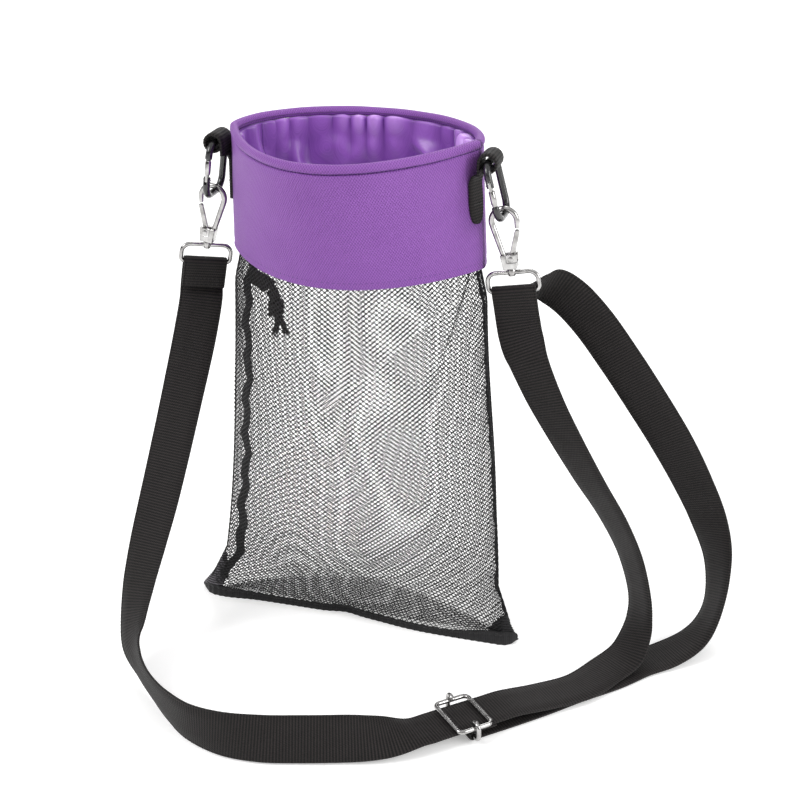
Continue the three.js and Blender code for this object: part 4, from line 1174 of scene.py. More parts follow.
def sample(surface, u, v):
    """Points of a panel at shares across and down."""
    rows, columns = surface.shape[:2]
    r, c = np.clip(v, 0, 1) * (rows - 1), np.clip(u, 0, 1) * (columns - 1)
    r0, c0 = np.minimum(r.astype(int), rows - 2), np.minimum(c.astype(int), columns - 2)
    fr, fc = (r - r0)[..., None], (c - c0)[..., None]
    top = mix(surface[r0, c0], surface[r0, c0 + 1], fc)
    return mix(top, mix(surface[r0 + 1, c0], surface[r0 + 1, c0 + 1], fc), fr)


def loosened(u, v, crease):
    """Uneven lie of the net, with threads drawn together along a slanting crease."""
    inside = np.sin(math.pi * u) * np.sin(math.pi * v)
    slow = 0.005 * np.sin(2 * math.pi * (1.3 * v + 0.7 * u))
    slow += 0.003 * np.sin(2 * math.pi * (3.1 * v - 1.9 * u))
    shifted = u + inside * slow
    if crease:
        off = shifted - mix(crease["top"], crease["foot"], v / crease["end"])
        strength = crease["pull"] * (1 - smooth_step(v, 0.3 * crease["end"], crease["end"]))
        shifted = shifted - strength * off * hump(off, 0, crease["width"])
    return shifted, v + inside * 0.004 * np.sin(2 * math.pi * (2.3 * u + 0.4 * v))


def net_threads(surface, width, height, stretch, crease):
    """Threads in two slanting directions, thick where they are knitted together.

    A net that is stretched upwards has narrower and taller holes."""
    across, down = round(width * stretch / HOLE_STEP_ACROSS), round(height / stretch / HOLE_STEP_DOWN)
    v, u = np.meshgrid(np.arange(down + 1) / down, np.arange(across + 1) / across, indexing="ij")
    u, v = loosened(u, v, crease)
    knots = sample(surface, u, v)
    normals = unit(np.cross(np.gradient(knots, axis=1), np.gradient(knots, axis=0)))
    knots = knots + normals * (NET_UNEVENNESS * np.sin(9 * u + 4 * v) * np.sin(11 * v))[..., None]
    bodies = []
    for step in (1, -1):
        starts = [(0, i) for i in range(0, across + 1, 2)]
        starts += [(j, 0 if step > 0 else across) for j in range(2, down + 1, 2)]
        for j0, i0 in starts:
            count = min(down - j0, across - i0 if step > 0 else i0)
            if count < 2:
                continue
            k = np.arange(count + 1)
            at = (j0 + k, i0 + step * k)
            line = knots[at] + step * CROSSING_LIFT * normals[at]
            bodies.append(net_thread(line, normals[at]))
    return joined_bodies(bodies)


def net_thread(line, normals):
    """A three-sided thread through its knots, thinner between them."""
    path = np.empty((2 * len(line) - 1, 3))
    path[::2], path[1::2] = line, (line[1:] + line[:-1]) / 2
    up = np.empty_like(path)
    up[::2], up[1::2] = normals, (normals[1:] + normals[:-1]) / 2
    radius = np.where(np.arange(len(path)) % 2, THREAD_RADIUS, KNOT_RADIUS)[:, None, None]
    side = unit(np.cross(tangents_of(path), up))
    turn = np.array([0.5, 0.5 + 2 / 3, 0.5 + 4 / 3])[:, None] * math.pi
    rings = path[:, None] + radius * (np.cos(turn) * side[:, None] + np.sin(turn) * up[:, None])
    return loft(rings, caps=False)


def make_net():
    steps = np.linspace(0, 1, NET_ROWS) ** 0.9
    front = [net_row(-1, under_at(z), z) for z in mix(NET_TOP, NET_FOOT, steps)]
    back = [net_row(1, under_at(z), z) for z in mix(NET_TOP, BACK_TURN_TOP, steps)]
    back += [net_row(1, *place) for place in BACK_TURN]
    panels = (("net_front", front, 1, None), ("net_back", back, BACK_STRETCH, BACK_CREASE))
    for name, rows, stretch, crease in panels:
        surface, height = panel_surface(rows)
        width = lengths_along(surface[len(surface) // 2])[-1]
        body = net_threads(surface, width, height, stretch, crease)
        mesh = piece(f"{name}_mesh", body, NET_THREAD, "net", crease=180, replaces=[name])
        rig.sheet(mesh, flat=(width, height), held="hung", rests_on=["collar_band"])


def make_seam_tape(word, side):
    """A side seam with, inside it, its bound allowance, puckered by the stitches."""
    rows = np.linspace(0, 1, TAPE_ROWS)
    z = mix(TAPE_TOP, TAPE_FOOT, rows)
    size = pouch(under_at(z))
    wave = TAPE_WAVE[word] * (np.sin(rows * 58 + side) + 0.6 * np.sin(rows * 23))
    root = size["half_width"] - TAPE_INSET[word] - (wave + TAPE_PUCKER * np.sin(rows * 140))
    tip = root - TAPE_WIDTH[word] * (1 + 0.3 * smooth_step(rows, 0.5, 0.9))
    across, lift = TAPE_SECTION.T
    sway = TAPE_SWAY * np.sin(rows * 61 + 1)[:, None] * across
    x = size["middle"][:, None] + side * mix(root[:, None], tip[:, None], across)
    y = size["seam_y"][:, None] + lift * TAPE_THICKNESS / 2 + sway
    allowance = loft(points_of(x, y, z[:, None]))
    edge = points_of(size["middle"] + side * (size["half_width"] - 0.3 * MM), size["seam_y"], z)
    puckers = SIDE_SEAM_RADIUS * (1 + 0.2 * np.sin(rows * 330))
    body = joined_bodies([allowance, sweep(edge, puckers, sides=8)])
    grain = points_of(body[0][:, 0], body[0][:, 2], 0)
    name = f"{word}_seam_allowance"
    piece(name, body, TAPE, "binding_tape", grain=grain, replaces=[f"{word}_seam_tape"])


def binding_y(u):
    """The line of the tape's middle, at a share from the seam's middle to its ends."""
    return SEAM_Y - BINDING_THICKNESS / 2 + seam_shift(u * SEAM_HALF_LENGTH)


def binding_height(u):
    """The tape's height: low in the middle, higher towards its ends, most at the right one."""
    rise = 0.55 + 0.3 * smooth_step(-u, 0.5, 0.95) + 0.5 * smooth_step(u, 0.55, 0.92)
    return BINDING_HEIGHT * rise + BINDING_RIPPLE * np.sin(u * 90)


def make_binding():
    """Tape folded over the bottom seam, standing on the floor."""
    u = np.linspace(-1, 1, BINDING_COLUMNS)[:, None]
    deep, high = BINDING_SECTION.T
    front, back = -BINDING_THICKNESS / 2, BINDING_THICKNESS / 2 - BINDING_BACK_INSET
    tip = np.sqrt(1 - np.clip((np.abs(u) - BINDING_TIP_START) / BINDING_TIP_LENGTH, 0, 1) ** 2)
    y = binding_y(u) + mix(front, back, mix(0.5, deep, tip)) + BINDING_RIPPLE * np.sin(u * 160)
    z = binding_height(u) * mix(0.45, high, tip)
    x = u * SEAM_HALF_LENGTH
    body, grain = loft(points_of(x, y, z)), points_of(z + y, x, 0)
    piece("bottom_seam", body, TAPE, "binding_tape", grain=grain, replaces=["bottom_binding"])


def make_binding_stitches():
    def place(u):
        y = binding_y(u) - BINDING_THICKNESS / 2 + dip(0.5, 0.1) * MM + 0.2 * MM
        return points_of(u * SEAM_HALF_LENGTH, y, SEAM_STITCH_HEIGHT * binding_height(u))

    body = joined_bodies(stitches(SEAM_STITCH_STARTS, SEAM_STITCH, place))
    piece("seam_stitches", body, BLACK_THREAD, "binding_tape")


def make_ears():
    """Gathered net at both ends of the bottom seam, drawn into level ribs."""
    across, lift = EAR_SECTION.T
    for word, side in SIDES:
        z = np.arange(1.5 * MM, EAR_HEIGHT[word], EAR_RIB / 8)[:, None]
        size = pouch(under_at(z))
        rib = 0.5 + 0.5 * np.cos(2 * math.pi * z / EAR_RIB)
        depth = EAR_DEPTH[word] * (1 - z / EAR_HEIGHT[word]) ** 0.7 + 1.2 * MM * rib
        outer = size["half_width"] + EAR_POINT[word] * (1 - smooth_step(z, 0, 22 * MM)) + 0.3 * MM * rib
        x = size["middle"] + side * (outer - depth * across)
        shift = seam_shift(x) * near_floor(under_at(z)) - 0.5 * MM
        y = size["seam_y"] + (0.55 + 0.75 * rib) * MM * lift + shift
        material = GATHERED_NET if word == "left" else TAPE
        body, grain = loft(points_of(x, y, z)), points_of(x, z, 0)
        piece(f"{word}_corner_gather", body, material, "binding_tape", grain=grain)


# Webbing section from an edge inwards: share across, share of the half thickness, and how far ribs show
SELVEDGE = np.array([
    (1, 0, 0), (0.99, 0.6, 0.2), (0.965, 0.98, 0.5), (0.925, 0.98, 0.5), (0.905, 0.72, 0.3), (0.88, 1, 1),
    (0.45, 1, 1),
])
UPPER_SIDE = np.vstack([SELVEDGE * np.array([-1, 1, 1]), [(0, 1, 1)], SELVEDGE[::-1]])
WEBBING_SECTION = np.vstack([UPPER_SIDE, UPPER_SIDE[-2:0:-1] * np.array([1, -1, 1])])


def webbing_rings(middles, edges, width, thickness, rib_pitch=RIB_PITCH, rib_height=RIB_HEIGHT):
    """Sections of webbing along a line, with a rib across at each pitch, and their cloth coordinates."""
    along = tangents_of(middles)
    w = unit(edges - along * np.sum(edges * along, axis=1, keepdims=True))
    n = np.cross(along, w)
    share, height, ribbed = WEBBING_SECTION.T
    distance = lengths_along(middles)[:, None]
    rib = rib_height * np.cos(2 * math.pi * distance / rib_pitch) * ribbed * np.sign(height)
    a = share * np.broadcast_to(width, len(middles))[:, None] / 2
    b = height * thickness / 2 + rib
    rings = middles[:, None] + a[..., None] * w[:, None] + b[..., None] * n[:, None]
    return rings, points_of(a, distance, 0)


def hinge_of(word, part):
    return np.array(JOINTS[f"{word}_{part}_swing"]["pos_m"])


def hook_up(word):
    return np.array(JOINTS[f"{word}_ring_swivel"]["axis"])


def hung(points, hinge, up, turned=False):
    """Points drawn from a hinge, with Z along the hanging piece, set at their place."""
    p = np.asarray(points, float)
    if turned:
        p = p * np.array([-1, -1, 1])
    x_axis = np.array([up[2], 0, -up[0]])
    return hinge + p[:, :1] * x_axis + p[:, 1:2] * np.array([0, 1, 0]) + p[:, 2:] * up


def on_hook(word):
    """Places hook points: the left hook is turned about, so that its gate is on the outside."""
    return lambda points: hung(points, hinge_of(word, "hook"), hook_up(word), word == "left")


def on_ring(word):
    """Places points of a ring and of the strap round it: the left ring hangs turned about its stem."""
    c, s = math.cos(RING_TURN[word]), math.sin(RING_TURN[word])
    spin = np.array([(c, s, 0), (-s, c, 0), (0, 0, 1)])
    return lambda points: hung(np.asarray(points) @ spin, hinge_of(word, "hook"), hook_up(word))


def ring_edge(word):
    """The direction of a ring's lower bar."""
    ends = on_ring(word)([(0, 0, 0), (1, 0, 0)])
    return ends[1] - ends[0]


def on_carabiner(word):
    """Places carabiner points: the right carabiner hangs the other way up."""
    top, foot = hinge_of(word, "carabiner"), hinge_of(word, "hook")
    drop = np.linalg.norm(top - foot)
    flip, shift = np.array([(-1, 1, -1), (0, 0, -drop)] if word == "right" else [(1, 1, 1), (0, 0, 0)])
    return lambda points: hung(np.asarray(points) * flip + shift, top, (top - foot) / drop)


def strap_line():
    """Middle line of the webbing from its sewn end at the left ring to its sewn end at the slider."""
    middles, edges = [], []

    def add(points, edge):
        middles.extend(np.asarray(points))
        edges.extend([np.array(edge)] * len(points))

    def add_route(route):
        for point, edge in route:
            add([point], edge)

    left, right = on_ring("left"), on_ring("right")
    left_edge, right_edge = ring_edge("left"), -ring_edge("right")
    r = RING_WIRE + CLEAR + STRAP_THICKNESS / 2
    add(left(in_yz([(-r, FOLD_END), (-r, mix(FOLD_END, RING_FOOT, 0.5))])), left_edge)
    add(left(in_yz(arc(0, RING_FOOT, r, 180, 0, 12))), left_edge)
    add(left(in_yz([(r, FOLD_MEETS), (0.6 * r, -FOLD_REACH)])), left_edge)
    add_route(LEFT_ROUTE)
    add([on_slider(stop * MM, STRAP_LIFT) for stop in SLIDER_STOPS], SLIDER_ACROSS)
    add_route(RIGHT_ROUTE)
    over_right = arc(0, RING_FOOT, r, 180, 60, 9)
    behind = over_right[-1] + BEND_BACK_REACH * np.array([math.cos(BEND_BACK_TURN), math.sin(BEND_BACK_TURN)])
    add(right(in_yz([(-r, BEND_STARTS), *over_right, behind])), right_edge)
    add_route(REAR_ROUTE)
    turn = SLIDER_WIRE + CLEAR + STRAP_THICKNESS / 2
    tail = [(TAIL_LENGTH, SLIDER_SINK - turn), *arc(0, SLIDER_SINK, turn, -90, -270, 12)]
    tail += [(reach, SLIDER_SINK + turn) for reach in (TAIL_LENGTH / 2, TAIL_LENGTH)]
    add([on_slider(along, z) for along, z in tail], SLIDER_ACROSS)
    line = smooth_line(middles, 24)
    widths = smooth_line(unit(np.array(edges)), 24)
    count = int(lengths_along(line)[-1] / RIB_PITCH * RINGS_PER_RIB)
    return spaced_evenly(line, count, widths)


class Strap:
    """The whole webbing as sections, cut into the stretches that move with different bodies."""

    def __init__(self):
        self.middles, edges = strap_line()
        self.rings, self.grain = webbing_rings(self.middles, edges, STRAP_WIDTH, STRAP_THICKNESS)

    def depth(self, word):
        """How far each section lies below a hook's hinge."""
        return -(self.middles - hinge_of(word, "hook")) @ hook_up(word)

    def nearest(self, place, start=0):
        """The section that lies nearest to a place, from a start on."""
        return start + int(np.argmin(np.linalg.norm(self.middles[start:] - place, axis=1)))

    def cut(self, name, start, stop, rides_on=None, replaces=()):
        body = loft(self.rings[start:stop + 1])
        grain = self.grain[start:stop + 1]
        return piece(name, body, WEBBING, "webbing", rides_on, grain=grain, crease=60, replaces=replaces)

    def bend(self, name, ends, bodies):
        """A stretch that bends from one body to the next, with its two end sections held by them."""
        made = self.cut(name, min(ends), max(ends))
        first, last = (self.rings[i] for i in ends)
        middle = first.mean(axis=0)
        way = unit(last.mean(axis=0) - middle)
        start, stop = ((first - middle) @ way).max(), ((last - middle) @ way).min()
        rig.blend(made, *bodies, middle + way * start, middle + way * stop)

    def hang(self, name, word, marks, first_link=0):
        """Stretches that each bend between two bodies of a hanging chain, from mark to mark."""
        bodies = (f"{word}_ring", f"{word}_hook", f"{word}_carabiner", "bag")
        for k in range(first_link, 3):
            self.bend(f"strap_{name}_{k + 1}", marks[k:k + 2], bodies[k:k + 2])

    def lie(self, name, start, stop, node_name):
        """A stretch that lies free, as a cord."""
        made = self.cut(name, start, stop, "bag", [node_name])
        path = self.middles[start:stop + 1]
        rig.cord(
            made, exit=path[0], length=lengths_along(path)[-1], diameter=STRAP_WIDTH, far_end="object",
            stiffness="limp", lay="loose", path=path,
        )


def first_of(met, start):
    """The first place from a start on where a condition is met."""
    return start + int(np.argmax(met[start:]))


def make_strap():
    strap = Strap()
    depth = strap.depth("left")
    fold_top = int(np.argmax(strap.middles[:FOLD_SECTIONS, 2]))
    left = [first_of(depth > mark, fold_top) for mark in STRAP_MARKS]
    strap.cut("strap_left_fold", 0, left[0], "left_ring", ["strap_left_end"])
    strap.hang("left", "left", left)

    depth = strap.depth("right")
    at_slider = strap.nearest(on_slider(0, STRAP_LIFT))
    front = [first_of(depth < mark, at_slider) for mark in STRAP_MARKS]
    behind = strap.nearest(REAR_ROUTE[0][0])
    ring_end, rear_start = (behind + round(reach / RIB_PITCH * RINGS_PER_RIB) for reach in TWIST_STRETCH)
    strap.cut("strap_right_over_ring", front[0], ring_end, "right_ring", ["strap_right_bend"])
    strap.hang("right", "right", front)

    rear_bend = strap.cut("strap_rear_bend", ring_end, rear_start)
    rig.blend(rear_bend, "right_ring", "right_hook", strap.middles[ring_end], strap.middles[rear_start])
    rear = [rear_start] + [first_of(depth > mark, rear_start) for mark in REAR_MARKS]
    strap.cut("strap_rear_1", rear[0], rear[1], "right_hook")
    strap.hang("rear", "right", rear, first_link=1)

    slide = [strap.nearest(on_slider(along, REAR_LIFT), rear[3]) for along in SLIDE_STRETCH]
    strap.bend("strap_rear_reach", slide, ("bag", "slider"))
    strap.cut("strap_tail", slide[1], len(strap.middles) - 1, "slider", ["strap_tail_loop"])
    strap.lie("strap_front", left[3], front[3], "strap_main")
    strap.lie("strap_back", rear[3], slide[0], "strap_rear")


def make_strap_stitches():
    """Rows of stitches that close the strap's end at the left ring."""
    set_on_ring = on_ring("left")
    y = 0.05 * MM - (RING_WIRE + CLEAR + STRAP_THICKNESS) + dip(0.4, 0.1, -0.08) * MM
    bodies = []
    for z in FOLD_STITCH_ROWS:
        bodies += stitches(FOLD_STITCH_STARTS, FOLD_STITCH, lambda x: set_on_ring(points_of(x, y, z)))
    piece("left_end_stitches", joined_bodies(bodies), BLACK_THREAD, "webbing", "left_ring")


def collar_sag(y, z):
    """How far the collar curves in from its side tip, at a place in front of or behind it."""
    a, front, back, _, middle = collar_oval(z)
    out = y - middle
    rise = np.where(out < 0, (np.abs(out) / front) ** (1 / FRONT_HOLLOW), out / back)
    return a * (1 - np.sqrt(1 - np.clip(rise, 0, 1) ** 2))


def sewn_on(word, side, points, hold):
    """Points of a tab's strip shifted along the collar and laid against its curve, where it holds them."""
    x, y, z = np.moveaxis(points, -1, 0)
    y = y + TAB_SHIFT[word] * hold
    return points_of(x - side * hold * collar_sag(y, z), y, z)


def tab_line(word, side):
    """Middle line of a tab, up the collar and round its loop."""
    hinge = hinge_of(word, "carabiner")
    loop_x, loop_z = abs(hinge[0]), hinge[2]
    strip_x, loop_side = collar_end(TAB_FOOT, side) + CLEAR + TAB_THICKNESS / 2, loop_x - LOOP_RADIUS
    route = np.vstack([
        (strip_x, TAB_FOOT), (mix(strip_x, loop_side, 0.5), mix(TAB_FOOT, loop_z, 0.5)),
        (loop_side, loop_z - 3 * MM), arc(loop_x, loop_z, LOOP_RADIUS, 180, -138, 40),
    ])
    line = smooth_line(points_of(side * route[:, 0], TAB_Y, route[:, 1]), 12)
    return spaced_evenly(line, int(lengths_along(line)[-1] / RIB_PITCH * 6))


def make_tab(word, side):
    """A webbing strip sewn to the collar, rolled into a loop at its head."""
    line = tab_line(word, side)
    loop_z = hinge_of(word, "carabiner")[2]
    edges = np.tile(np.array([0.0, 1, 0]), (len(line), 1))
    z = line[:, 2]
    up = np.clip((z - TAB_FOOT) / TAB_ROUND_FOOT, 0, 1)
    on_strip = np.arange(len(line)) < STRIP_SHARE * len(line)
    hold = np.where(on_strip, 1 - smooth_step(z, loop_z - STRIP_LETS_GO, loop_z - STRIP_FREE), 0)
    round_foot = np.where(on_strip, 0.16 + 0.84 * np.sqrt(1 - (1 - up) ** 2), 1)
    width = TAB_WIDTH * mix(1, TAB_WIDTH_SHARE[word], hold) * round_foot
    rings, grain = webbing_rings(line, edges, width, TAB_THICKNESS)
    body = loft(sewn_on(word, side, rings, hold[:, None]))
    piece(f"{word}_loop_tab", body, WEBBING, "webbing", grain=grain, crease=60, replaces=[f"{word}_tab"])


def make_tab_stitches(word, side):
    reach = TAB_WIDTH * TAB_WIDTH_SHARE[word] / 2 - 1.5 * MM
    bodies = []
    for z in (TAB_FOOT + row for row in TAB_STITCH_ROWS):
        x = side * (collar_end(z, side) + CLEAR + TAB_THICKNESS + 0.08 * MM - dip(0.4, 0.1, -0.05) * MM)
        starts = np.linspace(-reach, reach - TAB_STITCH, 5)
        bodies += stitches(starts, TAB_STITCH, lambda y: sewn_on(word, side, points_of(x, TAB_Y + y, z), 1))
    piece(f"{word}_tab_stitches", joined_bodies(bodies), BLACK_THREAD, "webbing")


def bright(name, body, rides_on, *replaced):
    return piece(name, body, NICKEL, "bright_metal", rides_on, replaces=replaced)


def fork_cheek(side):
    """One cheek of the fork that holds a carabiner's gate."""
    open_angle = math.degrees(math.acos(FORK_SLOT / 2 / CARABINER_WIRE))
    x, y = (arc(0, 0, CARABINER_WIRE, -open_angle, open_angle, 12) * np.array([side, 1])).T
    middle = side * CHEEK_MIDDLE
    sections = [
        (FORK_FOOT, 1), (mix(FORK_FOOT, FORK_END, 0.5), 1), (FORK_END - 0.5 * MM, 1), (FORK_END, 0.82),
    ]
    return loft(np.array([
        points_of(mix(middle, x, share), -CARABINER_HALF_WIDTH + y * share, z) for z, share in sections
    ]))


def make_carabiner(word):
    """An oval wire with a gap for the gate, which turns on a pin in a fork."""
    place = on_carabiner(word)
    w, top, low = CARABINER_HALF_WIDTH, CARABINER_TOP_RADIUS, CARABINER_FOOT_RADIUS
    foot = -np.linalg.norm(hinge_of(word, "carabiner") - hinge_of(word, "hook"))
    outline = np.vstack([
        [(-w, FORK_FOOT)], arc(-w + low, foot + low, low, 180, 270, 16),
        arc(w - low, foot + low, low, 270, 360, 16), arc(w - top, -top, top, 0, 90, 16),
        arc(-w + top, -top, top, 90, 180, 16),
        [(-w, GATE_NOSE + gap) for gap in (0.7 * MM, 0.45 * MM, CLEAR)],
    ])
    radius = np.full(len(outline), CARABINER_WIRE)
    radius[-2:] *= np.array([0.97, 0.86])
    wire = sweep(in_yz(outline), radius, WIRE_SIDES)
    body = moved(joined_bodies([wire, fork_cheek(1), fork_cheek(-1)]), place)
    name = f"{word}_carabiner"
    piece(f"{name}_frame", body, ENAMEL, "black_metal", name, replaces=[f"{name}_body"])
    gate = moved(carabiner_gate(), place)
    bright(f"{name}_gate_bar", gate, f"{name}_gate", f"{name}_gate")
    pin = [(x, -w, GATE_PIVOT) for x in (-PIN_HALF_LENGTH, 0, PIN_HALF_LENGTH)]
    body = moved(sweep(pin, PIN_RADIUS, round_ends=True), place)
    bright(f"{name}_pin_rod", body, name, f"{name}_pin")


def carabiner_gate():
    """The gate's rod, with a waist below its nose, and the flat tongue round the pin."""
    w, half = CARABINER_HALF_WIDTH, TONGUE_HALF_WIDTH
    heights, shares = np.array([
        (GATE_SHOULDER, 0.86), (GATE_SHOULDER + 0.4 * MM, 1), (GATE_NOSE - 1.4 * MM, 1),
        (GATE_NOSE - 1.1 * MM, 0.86), (GATE_NOSE - 0.3 * MM, 0.86), (GATE_NOSE, 0.7),
    ]).T
    rod = sweep(points_of(0, -w, heights), GATE_WIRE * shares, WIRE_SIDES)
    y, z = np.vstack([
        arc(-w, GATE_PIVOT - TONGUE_DROP + half, half, 180, 360, 12),
        [(-w + half, GATE_SHOULDER), (-w - half, GATE_SHOULDER)],
    ]).T
    tongue = loft(np.array([points_of(x, y, z) for x in (-TONGUE / 2, TONGUE / 2)]))
    return joined_bodies([rod, tongue])


def rounded(obj, width, segments=3):
    """Rounds the sharp edges of a piece for good."""
    bevel = obj.modifiers.new("round", "BEVEL")
    bevel.width = width
    bevel.segments = segments
    bevel.limit_method = "ANGLE"
    bevel.angle_limit = math.radians(40)
    shown = obj.evaluated_get(bpy.context.evaluated_depsgraph_get())
    mesh = bpy.data.meshes.new_from_object(shown)
    obj.modifiers.clear()
    obj.data = mesh
    mesh.shade_smooth()
    mesh.set_sharp_from_angle(angle=math.radians(40))


def slab(outline, low, high):
    """A flat outline in XZ, pushed from one Y to another."""
    return loft(np.array([[(x, y, z) for x, z in outline] for y in (low, high)]))


def base_half_width(z):
    return mix(BASE_FOOT_HALF_WIDTH, BASE_TOP_HALF_WIDTH, (z - BASE_FOOT) / (BASE_TOP - BASE_FOOT))


def make_hook(word):
    """A teardrop bow on a slotted base, with a lever on a rivet."""
    place = on_hook(word)
    make_bow(word, place)
    make_base(word, place)
    make_lever(word, place)
    make_rivet(word, place)


def make_bow(word, place):
    """The bow's wire, thicker at its head."""
    nose = (LEVER_TOP[0] + 0.2 * MM, NOSE_FOOT)
    route = np.vstack([BOW_ROOT, BOW_SHOULDER, arc(0, BOW_MIDDLE, BOW_RADIUS, 196, -14, 16), nose])
    line = spaced_evenly(smooth_line(in_xz(route), 8), BOW_SECTIONS)
    swell = np.interp(np.arange(BOW_SECTIONS), [0, 3, 22, 40, 43], [0.92, 1, 1.12, 1, 0.8])
    bright(f"{word}_hook_bow", moved(sweep(line, HOOK_WIRE * swell, sides=20), place), f"{word}_hook")


def make_base(word, place):
    """The base's block, with two cheeks beside the lever's slot."""
    floor_z = RIVET_DOWN - SLOT_DROP
    slot_x = RIVET_OUT - RIVET_RADIUS - SLOT_GAP
    low, high = -BASE_THICKNESS / 2, BASE_THICKNESS / 2
    foot_x, floor_x, top_x = (base_half_width(z) for z in (BASE_FOOT, floor_z, BASE_TOP))
    block = [
        (-foot_x, BASE_FOOT), (foot_x, BASE_FOOT), (floor_x, floor_z), (slot_x, floor_z),
        (slot_x, BASE_TOP), (-top_x, BASE_TOP),
    ]
    cheek_x, cheek_z = slot_x - BASE_OVERLAP, floor_z - BASE_OVERLAP
    cheek = [(cheek_x, cheek_z), (floor_x, cheek_z), (top_x, BASE_TOP), (cheek_x, BASE_TOP)]
    bodies = [slab(block, low, high), slab(cheek, low, -LEVER_SLOT / 2), slab(cheek, LEVER_SLOT / 2, high)]
    body = moved(joined_bodies(bodies), place)
    rounded(bright(f"{word}_hook_base", body, f"{word}_hook", f"{word}_hook_body"), BASE_EDGE)


def make_lever(word, place):
    """The sprung gate of a hook, rounded at both ends."""
    rivet = np.array([RIVET_OUT, RIVET_DOWN])
    rise = np.array(LEVER_TOP) - rivet
    reach = np.linalg.norm(rise)
    along = rise / reach
    across = np.array([along[1], -along[0]])
    half = LEVER_WIDTH / 2
    outline = np.vstack([arc(0, 0, half + 0.2 * MM, 180, 360, 14), arc(0, reach, half, 0, 180, 14)])
    outline = [rivet + x * across + z * along for x, z in outline]
    body = moved(slab(outline, -LEVER_THICKNESS / 2, LEVER_THICKNESS / 2), place)
    rounded(bright(f"{word}_hook_lever", body, f"{word}_hook_gate", f"{word}_hook_gate"), LEVER_EDGE, 4)


def make_rivet(word, place):
    """The lever's rivet, with a domed head on both sides."""
    reach = BASE_THICKNESS / 2
    head = RIVET_HEAD
    dome = [(0.02 * MM, -0.55 * MM), (0.6 * head, -0.5 * MM), (0.92 * head, -0.28 * MM), (head, 0)]
    points, faces = lathe([(r, -reach + z) for r, z in dome] + [(r, reach - z) for r, z in dome[::-1]])
    x, z, y = points.T
    body = place(points_of(x + RIVET_OUT, y, z + RIVET_DOWN)), faces
    bright(f"{word}_rivet", body, f"{word}_hook", f"{word}_hook_rivet")


def make_ring(word):
    """A ring, with the boss and stem on which it turns."""
    outline = rounded_outline(
        RING_HALF_WIDTH, RING_TOP, RING_FOOT, RING_TOP_CORNER, RING_FOOT_CORNER, top_steps=14, foot_steps=10,
    )
    ring = sweep(in_xz(outline), RING_WIRE, sides=18, joined=True)
    top, foot = BASE_FOOT - CLEAR, RING_TOP - BOSS_DROP
    stem = lathe([
        (0.2 * MM, STEM_TOP), (STEM_RADIUS, STEM_TOP), (STEM_RADIUS, top), (BOSS_RADIUS - 0.3 * MM, top),
        (BOSS_RADIUS, top - 0.4 * MM), (BOSS_RADIUS, foot + 0.9 * MM),
        (BOSS_RADIUS - 0.5 * MM, foot + 0.2 * MM), (0.8 * MM, foot), (0.05 * MM, foot),
    ])
    body = moved(joined_bodies([ring, stem]), on_ring(word))
    bright(f"{word}_ring_wire", body, f"{word}_ring", f"{word}_swivel_ring")


def make_slider():
    """The adjuster's wire frame, and its loose middle bar, whose ends curl round the frame."""
    l, w, r = SLIDER_HALF_LENGTH, SLIDER_HALF_WIDTH, SLIDER_CORNER
    axes = np.array([SLIDER_ALONG, SLIDER_ACROSS, (0, 0, 1)])
    middle = np.array([*SLIDER_AT[:2], 0])

    def place(points):
        return middle + points @ axes

    x, y = rounded_outline(l, w, -w, r, r).T
    body = moved(sweep(points_of(x, y, SLIDER_RISE), SLIDER_WIRE, sides=18, joined=True), place)
    bright("slider_wire", body, "slider", "slider_frame")
    half = np.vstack([
        arc(w + SLIDER_GRIP - SLIDER_TURN_UP, SLIDER_SINK + SLIDER_TURN_UP, SLIDER_TURN_UP, -90, 0, 12),
        arc(w, SLIDER_RISE, SLIDER_GRIP, 0, 140, 20),
    ])
    bar = np.vstack([half[::-1] * np.array([-1, 1]), half])
    body = moved(sweep(in_yz(bar), SLIDER_WIRE, sides=18, round_ends=True), place)
    bright("slider_centre_bar", body, "slider", "slider_bar")


def make_drawcord():
    """The flat drawcord under the collar, knotted, with two frayed tails."""
    places, edges = zip(*CORD_ROUTE)
    line = smooth_line([*places, tuple(KNOT_AT)], 30)
    edges = smooth_line([*edges, edges[-1]], 30)
    line, edges = spaced_evenly(line, CORD_SECTIONS, edges)
    width = CORD_WIDTH * np.interp(np.arange(CORD_SECTIONS), [0, 130, CORD_SECTIONS - 1], [1, 1, 0.62])
    rings, grain = webbing_rings(line, edges, width, CORD_THICKNESS, CORD_RIB, CORD_RIB_HEIGHT)
    tails = [spaced_evenly(smooth_line(route, 20), TAIL_SECTIONS) for route in TAIL_ROUTES]
    ribs = TAIL_RADIUS * (1 + 0.09 * np.cos(2 * math.pi * lengths_along(tails[0]) / TAIL_RIB))
    held, free = [sweep(tail, ribs, sides=14) for tail in tails]
    body = joined_bodies([loft(rings), held])
    grain = np.vstack([grain.reshape(-1, 3), upright_grain(held[0])])
    cord = piece("drawcord_tie", body, WEBBING, "webbing", grain=grain, crease=60, replaces=["drawcord"])
    loose = knot_wraps() + [free]
    for tail in tails:
        loose += frayed(tail[-1], unit(tail[-1] - tail[-4]))
    body = joined_bodies(loose)
    knot = piece("drawcord_knot", body, WEBBING, "webbing", grain=upright_grain(body[0]), crease=60)
    path = np.vstack([line, tails[0]])
    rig.cord(
        cord, exit=line[0], length=lengths_along(path)[-1], diameter=CORD_WIDTH, far_end="knot",
        stiffness="limp", lay="hanging", path=path, with_pieces=[knot],
    )


def upright_grain(points):
    """Cloth coordinates of a hanging piece: across, and up."""
    return points[:, [0, 2, 1]]


